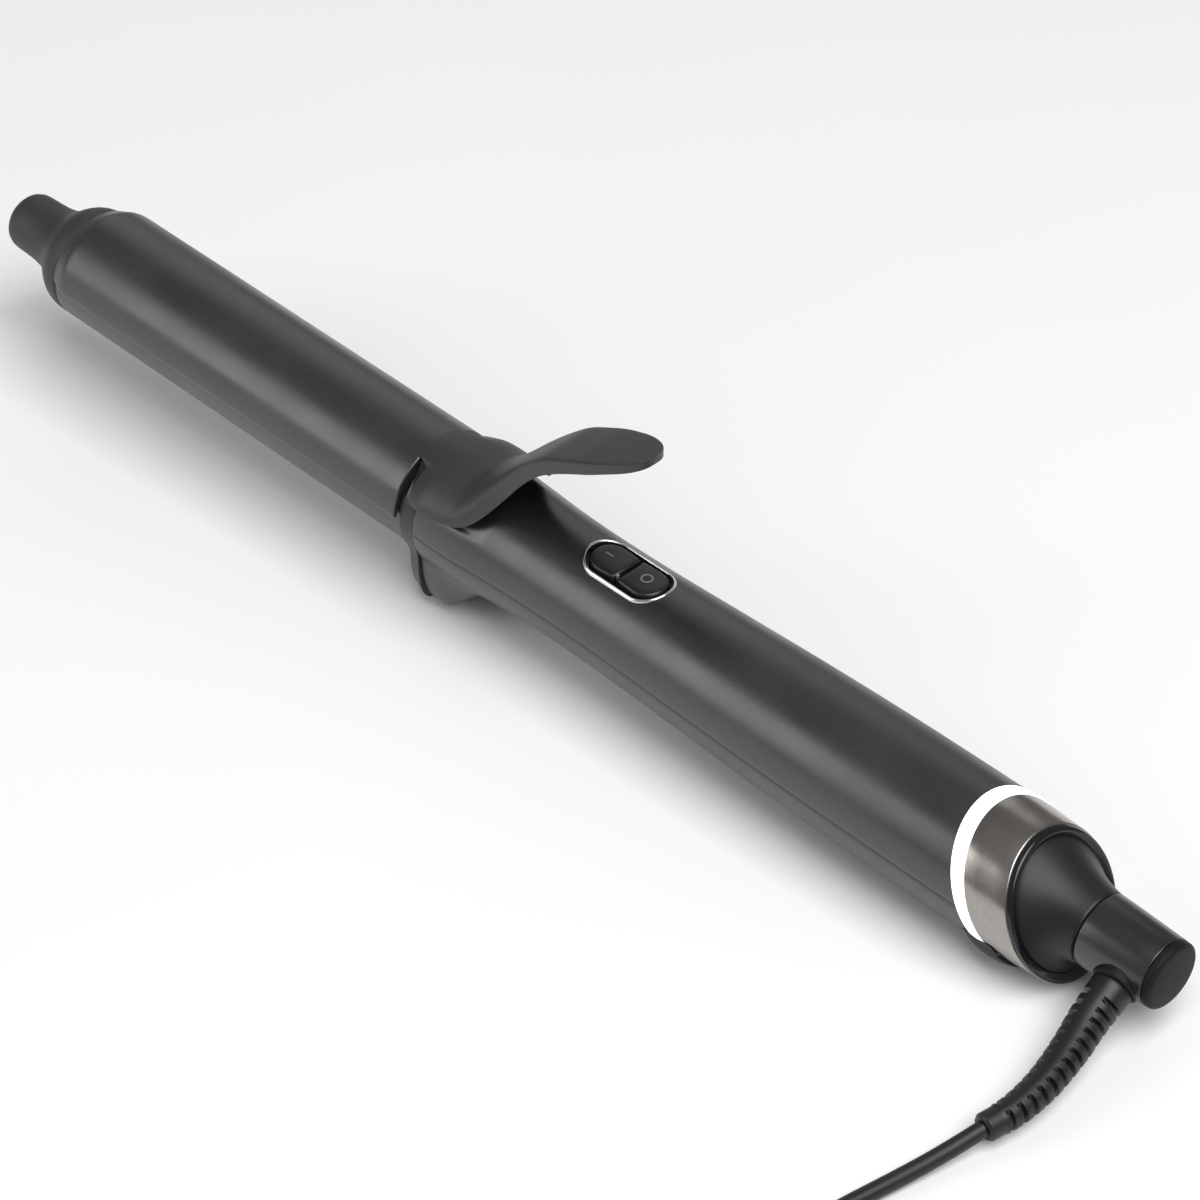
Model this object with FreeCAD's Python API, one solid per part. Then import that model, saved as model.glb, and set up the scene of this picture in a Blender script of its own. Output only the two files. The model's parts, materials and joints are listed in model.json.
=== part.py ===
import FreeCAD, Part
import math
import os

# A curling iron with a sprung barrel clamp, a thumb lever, a resting stand, two
# buttons, a light ring and a cord on a swivel. Lengths are millimetres.
#
# Everything but the cord is drawn along a local X axis, the barrel's axis: the cool
# tip is at -X, the cord swivel at +X, and the lever and the buttons are on top (+Z).
# to_world() then lays the iron down: it rests on the stand's pad and on the rear foot,
# so the tip end sits a little higher than the rear end.

os.makedirs("parts", exist_ok=True)

V = FreeCAD.Vector

# ---- the resting pose ----
TILT_DEG = 2.59          # how far the barrel's axis slopes down towards the rear
AXIS_HEIGHT = 24.3       # height of the axis above the surface, at local X = 0
CENTRE_SHIFT = -35.1     # brings the iron's middle to X = 0

# ---- driving sizes ----
BARREL_R = 13.0          # a 26 mm barrel
BARREL_WALL = 1.0
BARREL_FRONT = -113.5
BARREL_REAR = 12.0
TIP_END = -137.9
TIP_R = 7.1

BLADE_IN_R = 13.6
BLADE_OUT_R = 15.2
BLADE_FRONT = -111.2
BLADE_REAR = 4.6
BLADE_HALF_ANGLE = 84.0
TONGUE_HALF_ANGLE = 25.0
TONGUE_REAR = 13.0

COLLAR_FRONT = 5.0
HANDLE_FRONT = 9.6
HANDLE_WALL = 1.8
SEAM_GAP = 0.05          # each half shell stops this far from the split plane

HOOD_FRONT = 7.8
HOOD_CLEAR_R = 14.3      # the hood's inside, round the barrel axis
HOOD_SEAT_R = 13.75      # the upper shell is this round under the hood
HOOD_SEAT_Z = 7.4        # height of the ledge along the hood's lower edge
HOOD_SEAT_REAR = 29.0
HOOD_GAP = 0.3           # between the hood's inside and the upper shell
HOOD_SWING_DEG = 24.0    # the hood's inside clears the handle this far round the hinge
HINGE_X = 19.0
HINGE_Z = 9.5
PIN_R = 1.5
PIN_HALF_LENGTH = 12.6
RUNNING = 0.05           # radial clearance of pins and shafts that turn

COLLAR_R = 13.5
STAND_SOLE = -22.3       # underside of the stand, above the surface by the pad
STAND_HALF_WIDTH = 11.8
STAND_CORNER = 8.3
PAD_BOTTOM = -24.8       # before the resting surface trims the pad flat
PAD_LET_IN = 0.8

SWITCH_X = 61.9          # middle of the button cluster
SWITCH_HALF_LENGTH = 11.5
SWITCH_HALF_WIDTH = 6.0
BEZEL_WIDTH = 0.9
BUTTON_TRAVEL = 0.5
BUTTON_GAP = 0.35

REAR_SLOPE = 0.475       # the rear rings lean: x grows by this much per mm downwards
RING_X = 167.7           # front edge of the light ring, on the axis
RING_WIDTH = 3.3
BAND_WIDTH = 10.6
RIM_WIDTH = 1.5
RING_R = 15.35
RING_WALL = 1.5

SWIVEL_FRONT = 191.8
SWIVEL_SEAM = 208.4
SWIVEL_END = 211.0
SWIVEL_R = 8.15
SWIVEL_END_R = 7.55
SWIVEL_STEM_R = 5.0
EXIT_X = 201.5           # where the strain relief leaves the swivel

CORD_R = 1.8
RELIEF_ROOT_R = 4.6
RELIEF_TIP_R = 3.05

COS_T = math.cos(math.radians(TILT_DEG))
SIN_T = math.sin(math.radians(TILT_DEG))
X_AXIS = V(1, 0, 0)
Y_AXIS = V(0, 1, 0)
Z_AXIS = V(0, 0, 1)
ORIGIN = V(0, 0, 0)


def world_point(x, y, z):
    """A local point in the resting frame."""
    return V(x * COS_T + z * SIN_T + CENTRE_SHIFT, y, z * COS_T - x * SIN_T + AXIS_HEIGHT)


def to_world(shape):
    moved = shape.copy()
    moved.rotate(ORIGIN, Y_AXIS, TILT_DEG)
    moved.translate(V(CENTRE_SHIFT, 0, AXIS_HEIGHT))
    return moved


# ---- shape helpers, all along local X ----
def rod(x0, x1, radius):
    return Part.makeCylinder(radius, x1 - x0, V(x0, 0, 0), X_AXIS)


def tube(x0, x1, outer, inner):
    return rod(x0, x1, outer).cut(rod(x0 - 1, x1 + 1, inner))


def box(x0, x1, y0, y1, z0, z1):
    return Part.makeBox(x1 - x0, y1 - y0, z1 - z0, V(x0, y0, z0))


def cross_rod(x, z, radius, half_length):
    """A round bar along Y."""
    return Part.makeCylinder(radius, 2 * half_length, V(x, -half_length, z), Y_AXIS)


def revolved(edges):
    """Turn a closed outline, given as edges in the XZ plane above the axis."""
    face = Part.Face(Part.Wire(edges))
    return face.revolve(ORIGIN, X_AXIS, 360)


def lines(points):
    return [Part.makeLine(V(*a), V(*b)) for a, b in zip(points, points[1:])]


def curve(points):
    spline = Part.BSplineCurve()
    spline.interpolate([V(*p) for p in points])
    return spline.toShape()


def on_axis_plane(pairs):
    return [(x, 0, r) for x, r in pairs]


def prism_xz(outline, half_width):
    """A closed XZ outline, drawn out along Y to both sides."""
    wire = Part.makePolygon([V(x, -half_width, z) for x, z in outline + outline[:1]])
    return Part.Face(wire).extrude(V(0, 2 * half_width, 0))


def sector(x0, x1, outer, inner, half_angle):
    """The part of a tube within half_angle degrees of the top."""
    ring = tube(x0, x1, outer, inner)
    reach = 2 * outer
    left = math.radians(90 + half_angle)
    right = math.radians(90 - half_angle)
    steps = 6
    points = [V(x0, 0, 0)]
    for i in range(steps + 1):
        a = right + (left - right) * i / steps
        points.append(V(x0, reach * math.cos(a), reach * math.sin(a)))
    points.append(V(x0, 0, 0))
    wedge = Part.Face(Part.makePolygon(points)).extrude(V(x1 - x0, 0, 0))
    return ring.common(wedge)


def slab(x_front, width):
    """The space between two leaning planes of the rear rings."""
    size = 80
    lean = math.degrees(math.atan(REAR_SLOPE))
    thick = width * math.cos(math.radians(lean))
    block = Part.makeBox(thick, size, size, V(0, -size / 2, -size / 2))
    block.rotate(ORIGIN, Y_AXIS, -lean)
    block.translate(V(x_front, 0, 0))
    return block


def racetrack(x_mid, half_length, half_width, z0, z1):
    """An upright block with round ends along X."""
    straight = half_length - half_width
    body = box(x_mid - straight, x_mid + straight, -half_width, half_width, z0, z1)
    for side in (-1, 1):
        centre = V(x_mid + side * straight, 0, z0)
        body = body.fuse(Part.makeCylinder(half_width, z1 - z0, centre))
    return body.removeSplitter()


# ---- the hot end ----
def cool_tip():
    nose = curve(on_axis_plane([(TIP_END, 0), (-137.3, 5.0), (-136.3, 6.3), (-134.8, 7.0),
                                (-131.5, TIP_R), (-127.5, 7.3), (-124.2, 7.85), (-122.2, 8.5),
                                (-120.2, 9.75), (-118.3, 11.1), (-116.4, 12.25), (BARREL_FRONT, BARREL_R)]))
    spigot_r = BARREL_R - BARREL_WALL - RUNNING
    inside = lines(on_axis_plane([(BARREL_FRONT, BARREL_R), (BARREL_FRONT, spigot_r),
                                  (BARREL_FRONT + 8, spigot_r), (BARREL_FRONT + 8, spigot_r - 1.6),
                                  (-117.0, spigot_r - 1.6), (-123.0, 5.2), (-133.5, 4.8),
                                  (-133.5, 0), (TIP_END, 0)]))
    return revolved([nose] + inside)


def barrel():
    return tube(BARREL_FRONT, BARREL_REAR, BARREL_R, BARREL_R - BARREL_WALL)


HEATER_HALF_THICK = 0.9
SPREADER_FRONT = -98.0
SPREADER_REAR = -6.0
SPREADER_R = BARREL_R - BARREL_WALL - 0.02


def heat_spreader(side):
    """A half-round aluminium shoe that presses the heater's warmth into the barrel."""
    shoe = rod(SPREADER_FRONT, SPREADER_REAR, SPREADER_R)
    hollow = rod(SPREADER_FRONT - 1, SPREADER_REAR + 1, SPREADER_R - 2.4)
    hollow = hollow.cut(box(-120, 10, -15, 15, -3.0, 3.0))
    shoe = shoe.cut(hollow)
    if side > 0:
        keep = box(-120, 10, -15, 15, HEATER_HALF_THICK, 20)
    else:
        keep = box(-120, 10, -15, 15, -20, -HEATER_HALF_THICK)
    return shoe.common(keep)


def heater_plate():
    return box(-92, -12, -9, 9, -HEATER_HALF_THICK + 0.02, HEATER_HALF_THICK - 0.02)


def thermistor():
    bead = Part.makeCylinder(1.1, 5, V(-48, 0, -4.15), X_AXIS)
    return bead.fuse(Part.makeSphere(1.1, V(-48, 0, -4.15)))


def thermal_fuse():
    return Part.makeCylinder(1.9, 10.5, V(-3.5, 3.8, -4.4), X_AXIS)


LEAD_R = 0.75
LEAD_Z = -1.9
LEAD_LOW_Z = -5.2


def wire_lead(front_y, rear_y):
    """A stiff sleeved lead from the heater back through the neck of the handle."""
    points = [V(-5.6, front_y, LEAD_Z), V(14, front_y, LEAD_Z),
              V(27, rear_y, LEAD_LOW_Z), V(44, rear_y, LEAD_LOW_Z)]
    return round_path(points, LEAD_R)[0]


def barrel_carrier():
    """The heat-proof holder that plugs into the barrel and locks in the handle."""
    body = rod(0.5, BARREL_REAR, BARREL_R - BARREL_WALL - 0.03)
    body = body.fuse(rod(BARREL_REAR, BARREL_REAR + 2.4, BARREL_R - BARREL_WALL - 0.03))
    return body.cut(rod(-1, 20, 8.6)).removeSplitter()


# ---- the neck: collar, stand and pad ----
def stand_outline(x, half_width, bottom, corner):
    """A U-shaped outline across the stand, closed at the top on the axis."""
    left = -half_width
    mid = corner * (1 - math.sqrt(0.5))
    edges = lines([(x, left, 0), (x, left, bottom + corner)])
    edges.append(Part.Arc(V(x, left, bottom + corner), V(x, left + mid, bottom + mid),
                          V(x, left + corner, bottom)).toShape())
    edges += lines([(x, left + corner, bottom), (x, half_width - corner, bottom)])
    edges.append(Part.Arc(V(x, half_width - corner, bottom), V(x, half_width - mid, bottom + mid),
                          V(x, half_width, bottom + corner)).toShape())
    edges += lines([(x, half_width, bottom + corner), (x, half_width, 0), (x, left, 0)])
    return Part.Wire(edges)


def front_collar():
    """The dark heat guard round the barrel, running down over the stand's front."""
    inner = BARREL_R + RUNNING
    guard = Part.makeLoft([stand_outline(COLLAR_FRONT, 10.6, -21.6, 6.6),
                           stand_outline(HANDLE_FRONT, 12.4, STAND_SOLE, 7.2)], True)
    band = tube(COLLAR_FRONT, HANDLE_FRONT, COLLAR_R, inner)
    return guard.fuse(band).cut(rod(0, 20, inner)).removeSplitter()


def stand_body():
    """The lower shell's foot, before its hollow and the handle are joined to it."""
    front = HANDLE_FRONT
    block = Part.Face(stand_outline(front, STAND_HALF_WIDTH, STAND_SOLE, STAND_CORNER)).extrude(V(20, 0, 0))
    side = [(front - 1, 0), (front - 1, STAND_SOLE), (front + 4, STAND_SOLE),
            (front + 6.9, STAND_SOLE + 0.7), (front + 9.4, STAND_SOLE + 2.8),
            (front + 12.4, STAND_SOLE + 5.7), (front + 15.4, STAND_SOLE + 8.2),
            (front + 19, STAND_SOLE + 13.9), (front + 19, 0)]
    return block.common(prism_xz(side, 20))


def stand_pad():
    """A soft pad let into the stand's sole; the resting surface trims it flat."""
    x0 = HANDLE_FRONT + 0.6
    return box(x0, x0 + 3.6, -4.6, 4.6, PAD_BOTTOM, STAND_SOLE + PAD_LET_IN)


# ---- the handle ----
HANDLE_PROFILE = [(HANDLE_FRONT, 13.9), (16, 14.3), (24, 14.1), (34, 13.45), (50, 13.05), (66, 13.25),
                  (86, 13.9), (110, 14.65), (136, 15.1), (162, 15.2), (180, 15.2)]


def handle_radius(x):
    for (xa, ra), (xb, rb) in zip(HANDLE_PROFILE, HANDLE_PROFILE[1:]):
        if x <= xb:
            return ra + (rb - ra) * (x - xa) / (xb - xa)
    return HANDLE_PROFILE[-1][1]


def handle_skin(offset):
    """The handle's outside, moved inwards by offset."""
    points = [(x, 0, r - offset) for x, r in HANDLE_PROFILE]
    first = points[0]
    last = points[-1]
    return revolved([curve(points)] + lines([last, (last[0], 0, 0), (first[0], 0, 0), first]))


def hinge_boss(side):
    """One of the two lugs inside the upper shell that carry the hinge pin."""
    y0, y1 = (6.0, 9.4) if side > 0 else (-9.4, -6.0)
    return box(HINGE_X - 3.4, HINGE_X + 3.4, y0, y1, 5.4, 12.0)


SPRING_WINDOW = (12.6, 27.0, 5.4)   # the opening in the upper shell: x from, x to, half width
SWITCH_POCKET_Z = 8.6               # the button cluster stands above this level


def handle_half(side):
    body = handle_skin(0)
    if side < 0:
        body = body.fuse(stand_body())
    room = handle_skin(HANDLE_WALL).cut(rod(0, HANDLE_FRONT + HANDLE_WALL, 30))
    body = body.cut(room)
    if side < 0:
        foot_room = Part.Face(stand_outline(HANDLE_FRONT + 2, 9.8, STAND_SOLE + 3.2, 5.0))
        body = body.cut(foot_room.extrude(V(7.2, 0, 0)))
        body = body.cut(stand_pad())
    body = body.cut(rod(0, BARREL_REAR + 0.1, BARREL_R + RUNNING))
    body = body.cut(slab(RING_X, 60))
    body = body.fuse(screw_bosses(side)).cut(screw_holes())
    if side > 0:
        for hand in (-1, 1):
            body = body.fuse(hinge_boss(hand).common(handle_skin(0.3)))
        body = body.cut(cross_rod(HINGE_X, HINGE_Z, PIN_R + RUNNING, 16))
        x0, x1, half = SPRING_WINDOW
        body = body.cut(box(x0, x1, -half, half, 6, 20))
        hood_seat = tube(HANDLE_FRONT - 1, HOOD_SEAT_REAR, 30, HOOD_SEAT_R)
        body = body.cut(hood_seat.common(box(0, 40, -20, 20, HOOD_SEAT_Z, 30)))
        body = body.cut(sector(HANDLE_FRONT - 1, TONGUE_REAR + 0.6, 30, BARREL_R, TONGUE_HALF_ANGLE + 3))
        deep = SWITCH_HALF_LENGTH + RUNNING
        wide = SWITCH_HALF_WIDTH + RUNNING
        body = body.cut(racetrack(SWITCH_X, deep, wide, SWITCH_POCKET_Z, 20))
        keep = box(0, 200, -20, 20, SEAM_GAP, 40)
    else:
        keep = box(0, 200, -20, 20, -40, -SEAM_GAP)
    return body.common(keep).removeSplitter()


# ---- lever and clamp ----
def hood_section(x, bottom_z, bottom_y, crease_y, crease_z, top_z):
    """The lever's outside across X: skirts, shoulders and a gently crowned top."""
    mid_y = 0.5 * (bottom_y + crease_y) + 0.18 * (bottom_y - crease_y) + 0.9
    mid_z = 0.5 * (bottom_z + crease_z) + 0.25
    half = [(-bottom_y, bottom_z), (-mid_y, mid_z), (-crease_y, crease_z), (-0.5 * crease_y, top_z - 0.1)]
    points = half + [(0, top_z)] + [(-y, z) for y, z in reversed(half)]
    arch = curve([(x, y, z) for y, z in points])
    return Part.Wire([arch] + lines([(x, bottom_y, bottom_z), (x, -bottom_y, bottom_z)]))


# x, lower edge z and half width, shoulder half width and z, crown z
LEVER_SECTIONS = [(HOOD_FRONT, 7.9, 13.4, 8.2, 13.2, 15.6), (12, 8.2, 14.6, 8.6, 14.5, 16.9),
                  (17, 8.4, 14.4, 8.5, 14.9, 17.3), (21.5, 8.9, 13.8, 8.2, 17.4, 18.7),
                  (25, 10.2, 12.9, 8.0, 20.4, 21.0), (28, 13.2, 10.6, 8.0, 23.3, 23.6),
                  (32, 19.0, 8.6, 8.0, 27.1, 27.3), (37, 25.0, 8.1, 7.9, 31.6, 31.8),
                  (43, 31.2, 8.0, 7.9, 36.4, 36.6), (50, 36.3, 8.1, 8.0, 40.1, 40.3),
                  (57, 39.9, 7.9, 7.8, 43.3, 43.5), (62, 42.2, 7.2, 7.1, 45.4, 45.6),
                  (65.4, 43.7, 5.8, 5.7, 46.8, 46.9), (67.6, 44.6, 4.2, 4.1, 47.6, 47.7),
                  (68.8, 45.2, 2.6, 2.5, 48.0, 48.1), (69.3, 45.6, 1.4, 1.3, 48.2, 48.3)]
POCKET = [(24.0, 12.0), (25.5, 17.2), (32.0, 24.6), (43.0, 34.0), (50.0, 38.3), (58.0, 41.6), (60.0, 20.0)]


def handle_under_hood(swing_deg):
    """The space the handle takes up, seen from the lever when it is pressed this far."""
    neck = rod(HANDLE_FRONT, 60, HOOD_SEAT_R + HOOD_GAP)
    neck.rotate(V(HINGE_X, 0, HINGE_Z), Y_AXIS, -swing_deg)
    return neck


def lever():
    body = Part.makeLoft([hood_section(*s) for s in LEVER_SECTIONS], True)
    body = body.cut(rod(0, 60, HOOD_CLEAR_R))
    steps = 4
    for i in range(1, steps + 1):
        body = body.cut(handle_under_hood(HOOD_SWING_DEG * i / steps))
    body = body.cut(prism_xz(POCKET, 6.2))
    body = body.fuse(sector(BLADE_REAR - 0.3, HOOD_FRONT + 1, LIP_R, BLADE_OUT_R, TONGUE_HALF_ANGLE))
    body = body.cut(cross_rod(HINGE_X, HINGE_Z, PIN_R, PIN_HALF_LENGTH))
    body = body.cut(sector(0, TONGUE_REAR, BLADE_OUT_R, BLADE_IN_R, TONGUE_HALF_ANGLE))
    for y in RIVET_YS:
        body = body.cut(rivet(y))
    return body.removeSplitter()


RIVET_X = 11.2
RIVET_R = 1.1
RIVET_YS = (-3.4, 3.4)
LIP_R = 15.9              # the hood's front lip, lapped over the blade


def clamp_blade():
    shell = sector(BLADE_FRONT, BLADE_REAR, BLADE_OUT_R, BLADE_IN_R, BLADE_HALF_ANGLE)
    tongue = sector(BLADE_REAR, TONGUE_REAR, BLADE_OUT_R, BLADE_IN_R, TONGUE_HALF_ANGLE)
    blade = shell.fuse(tongue).removeSplitter()
    for y in RIVET_YS:
        blade = blade.cut(rivet(y))
    return blade


def rivet(y):
    """A short rivet that joins the blade's tongue to the hood, blind on the outside."""
    shank = Part.makeCylinder(RIVET_R, 4, V(RIVET_X, y, BLADE_IN_R - 1.5))
    return shank.common(tube(0, 30, BLADE_OUT_R + 0.6, BLADE_IN_R))


def hinge_pin():
    return cross_rod(HINGE_X, HINGE_Z, PIN_R, PIN_HALF_LENGTH)


SPRING_WIRE_R = 0.55
SPRING_TURN_R = 2.5


def torsion_spring():
    """The close-wound coil round the pin, as the sleeve that its turns fill."""
    coil = cross_rod(HINGE_X, HINGE_Z, SPRING_TURN_R + SPRING_WIRE_R, 4.6)
    coil = coil.cut(cross_rod(HINGE_X, HINGE_Z, SPRING_TURN_R - SPRING_WIRE_R, 6))
    lifting_leg = Part.makeCylinder(SPRING_WIRE_R, 5.6, V(HINGE_X, 3.4, HINGE_Z + SPRING_TURN_R), V(-1, 0, 0.2))
    resting_leg = Part.makeCylinder(SPRING_WIRE_R, 7.0, V(HINGE_X, -3.4, HINGE_Z - SPRING_TURN_R), V(1, 0, 0.1))
    return coil.fuse(lifting_leg).fuse(resting_leg).removeSplitter()


# ---- the button cluster ----
BEZEL_CROWN_R = 13.75     # the ring's top follows the handle's roundness
BUTTON_TOP = 13.6
BUTTON_SPLIT = 61.9       # the groove between the two buttons
BUTTON_OFFSET = 5.0       # from the cluster's middle to each stem


def switch_bezel():
    outer = racetrack(SWITCH_X, SWITCH_HALF_LENGTH, SWITCH_HALF_WIDTH, 11.2, 16)
    inner = racetrack(SWITCH_X, SWITCH_HALF_LENGTH - BEZEL_WIDTH, SWITCH_HALF_WIDTH - BEZEL_WIDTH, 10, 17)
    return outer.cut(inner).common(rod(0, 100, BEZEL_CROWN_R))


def switch_tray():
    """The black tray below the ring; the buttons slide in its two windows."""
    outer = racetrack(SWITCH_X, SWITCH_HALF_LENGTH, SWITCH_HALF_WIDTH, 8.7, 11.2)
    tray = outer.cut(button_shape(-1, -0.3, 5, 18)).cut(button_shape(1, -0.3, 5, 18))
    return tray.cut(indicator_hole())


def button_shape(side, shrink, z0, z1):
    """One of the two button outlines: half of the racetrack, less the groove."""
    half_length = SWITCH_HALF_LENGTH - BEZEL_WIDTH - BUTTON_GAP - shrink - 0.35
    half_width = SWITCH_HALF_WIDTH - BEZEL_WIDTH - BUTTON_GAP - shrink - 0.35
    block = racetrack(SWITCH_X, half_length, half_width, z0, z1)
    groove = 0.5 + shrink
    if side < 0:
        keep = box(40, BUTTON_SPLIT - groove, -10, 10, z0 - 1, z1 + 1)
    else:
        keep = box(BUTTON_SPLIT + groove, 90, -10, 10, z0 - 1, z1 + 1)
    return block.common(keep)


def button(side):
    """The cap, with the stem that reaches the tact switch below it."""
    cap = button_shape(side, 0, 9.4, BUTTON_TOP)
    cap = cap.cut(indicator_hole())
    stem = Part.makeCylinder(1.2, 2.2, V(SWITCH_X + BUTTON_OFFSET * side, 0, 7.3))
    return cap.fuse(stem).removeSplitter()


LED_X = 61.3
LED_Y = -2.9
LED_R = 0.55
BOARD_TOP = 5.0


def indicator_hole():
    return Part.makeCylinder(LED_R + 0.3, 20, V(LED_X, LED_Y, 5))


def indicator_pipe():
    """The light pipe of the small status lamp."""
    return Part.makeCylinder(LED_R, BUTTON_TOP - 0.1 - BOARD_TOP, V(LED_X, LED_Y, BOARD_TOP + 0.02))


def circuit_board():
    return box(50, 150, -8.5, 8.5, BOARD_TOP - 1.6, BOARD_TOP)


def tact_switch(side):
    x = SWITCH_X + BUTTON_OFFSET * side
    body = box(x - 2.2, x + 2.2, -2.2, 2.2, BOARD_TOP + 0.02, BOARD_TOP + 1.2)
    return body.fuse(Part.makeCylinder(1.0, 0.6, V(x, 0, BOARD_TOP + 1.1))).removeSplitter()


def mains_filter():
    """The tallest part on the board: its mains filter."""
    return box(118, 132, -6, 6, BOARD_TOP + 0.02, BOARD_TOP + 5.0)


def capacitor():
    return Part.makeCylinder(3.2, 12, V(98, -2, BOARD_TOP + 3.25), X_AXIS)


SCREW_PLACES = (38.0, 156.0)
SCREW_R = 1.1
SCREW_HEAD_R = 2.1
SCREW_HEAD_DEEP = 3.0     # from the handle's underside to the head
SCREW_HEAD_HIGH = 1.5
SCREW_TOP = 5.0


def screw(x, slack=0.0):
    """A case screw that comes up from below; slack gives the hole it sits in."""
    low = SCREW_HEAD_DEEP - handle_radius(x)
    shank = Part.makeCylinder(SCREW_R + slack, SCREW_TOP - low, V(x, 0, low))
    head = Part.makeCylinder(SCREW_HEAD_R + slack, SCREW_HEAD_HIGH, V(x, 0, low))
    return head.fuse(shank).removeSplitter()


def screw_bosses(side):
    """Round posts inside a half shell, one round each screw."""
    low, high = (0, 14) if side > 0 else (-14, 0)
    posts = [Part.makeCylinder(3.5, high - low, V(x, 0, low)) for x in SCREW_PLACES]
    return posts[0].fuse(posts[1:]).common(handle_skin(0.5))


def screw_holes():
    """Each screw's own space and the well below its head."""
    holes = []
    for x in SCREW_PLACES:
        low = SCREW_HEAD_DEEP - handle_radius(x)
        holes.append(screw(x, RUNNING))
        holes.append(Part.makeCylinder(SCREW_HEAD_R + 0.2, 8, V(x, 0, low - 8)))
    return holes[0].fuse(holes[1:])


# ---- the rear end ----
def taper(front_r, rear_r):
    """A slightly tapering round block round the whole rear end."""
    x0, x1 = 150, 210
    outline = on_axis_plane([(x0, 0), (x0, front_r), (x1, rear_r), (x1, 0), (x0, 0)])
    return revolved(lines(outline))


def rear_ring(x_front, width, front_r, rear_r, wall):
    body = taper(front_r, rear_r).common(slab(x_front, width))
    return body.cut(taper(front_r - wall, rear_r - wall))


def light_ring():
    return rear_ring(RING_X + 0.02, RING_WIDTH - 0.04, RING_R, RING_R, RING_WALL)


BAND_TAPER_FRONT_R = 15.75  # the band's taper, as radii at either end of taper()
BAND_TAPER_REAR_R = 13.75
BAND_X = RING_X + RING_WIDTH
RIM_X = BAND_X + BAND_WIDTH
CONE_START_R = 12.1


def metal_band():
    return rear_ring(BAND_X, BAND_WIDTH - 0.02, BAND_TAPER_FRONT_R, BAND_TAPER_REAR_R, 1.3)


def rear_rim():
    return rear_ring(RIM_X, RIM_WIDTH, 15.3, 13.35, 1.6)


def leaning_circle(x, radius, slope):
    """A closed curve of one radius about the axis, in a leaning plane."""
    count = 24
    points = []
    for i in range(count):
        a = 2 * math.pi * i / count
        z = radius * math.cos(a)
        points.append(V(x - slope * z, radius * math.sin(a), z))
    spline = Part.BSplineCurve()
    spline.interpolate(points, PeriodicFlag=True)
    return Part.Wire([spline.toShape()])


def end_cone():
    """The hollow-sided end piece between the rim and the swivel."""
    stations = [(RIM_X + 0.4, CONE_START_R, REAR_SLOPE), (RIM_X + 3.6, 10.6, 0.33),
                (RIM_X + 6.8, 9.0, 0.14), (SWIVEL_FRONT - 0.3, 8.2, 0)]
    body = Part.makeLoft([leaning_circle(*s) for s in stations], True)
    body = body.fuse(tube(RIM_X - 20, RIM_X + 8, 11.7, 9.0).common(slab(RIM_X - 9, 10.4)))
    body = body.cut(rod(150, 220, SWIVEL_STEM_R + RUNNING))
    return body.cut(rod(150, RIM_X + 3.4, 8.6)).removeSplitter()


def rear_foot():
    """The soft foot under the rear ring; the resting surface trims it flat."""
    outer = 16.6
    body = rear_ring(RING_X - 2.2, 8.0, outer, outer, outer - RING_R - 0.06)
    return body.common(box(140, 200, -13.2, 13.2, -25, -9.6))


def swivel_retainer():
    """The ring clipped on the swivel's stem, behind the end piece's wall."""
    return tube(RIM_X + 1.8, RIM_X + 3.3, 8.3, SWIVEL_STEM_R)


def contact_ring(index):
    """A slip ring on the stem, for one of the cord's two cores."""
    x = RIM_X - 7 + 4.2 * index
    return tube(x, x + 2.4, SWIVEL_STEM_R + 1.0, SWIVEL_STEM_R)


def contact_brush(index):
    x = RIM_X - 7 + 4.2 * index
    return box(x + 0.4, x + 2.0, -1.5, 1.5, SWIVEL_STEM_R + 1.3, SWIVEL_STEM_R + 3.4)


def swivel_body():
    barrel_part = Part.makeCone(SWIVEL_R, SWIVEL_END_R, SWIVEL_SEAM - SWIVEL_FRONT,
                                V(SWIVEL_FRONT, 0, 0), X_AXIS)
    stem = rod(RIM_X - 9, SWIVEL_FRONT, SWIVEL_STEM_R)
    body = barrel_part.fuse(stem)
    body = body.cut(rod(RIM_X - 10, EXIT_X, 3.0))
    return body.removeSplitter()


def swivel_cap():
    arc = curve(on_axis_plane([(SWIVEL_SEAM, SWIVEL_END_R), (SWIVEL_SEAM + 1.4, 7.3),
                               (SWIVEL_SEAM + 2.1, 6.3), (SWIVEL_END - 0.1, 3.2), (SWIVEL_END, 0)]))
    return revolved([arc] + lines(on_axis_plane([(SWIVEL_END, 0), (SWIVEL_SEAM, 0),
                                                 (SWIVEL_SEAM, SWIVEL_END_R)])))


# ---- the cord, in the resting frame ----
def round_path(points, radius, report=None):
    """A tube of straight runs joined by tangent arcs, each as large as its runs allow."""
    edges = []
    start = points[0]
    length = 0
    for before, corner, after in zip(points, points[1:], points[2:]):
        to_before = before - corner
        to_after = after - corner
        shorter = min(to_before.Length, to_after.Length)
        to_before.normalize()
        to_after.normalize()
        turn = math.pi - to_before.getAngle(to_after)
        setback = 0.45 * shorter
        bend = setback / math.tan(turn / 2)
        enter = corner + to_before * setback
        leave = corner + to_after * setback
        inward = to_before + to_after
        inward.normalize()
        middle = corner + inward * (bend / math.cos(turn / 2) - bend)
        edges.append(Part.LineSegment(start, enter).toShape())
        edges.append(Part.Arc(enter, middle, leave).toShape())
        length += (enter - start).Length + bend * turn
        start = leave
        if report:
            print(report, "turn %.0f deg, radius %.1f mm" % (math.degrees(turn), bend))
    edges.append(Part.LineSegment(start, points[-1]).toShape())
    length += (points[-1] - start).Length
    path = Part.Wire(edges)
    heading = points[1] - points[0]
    section = Part.Wire([Part.makeCircle(radius, points[0], heading)])
    return path.makePipeShell([section], True, True), length


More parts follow.
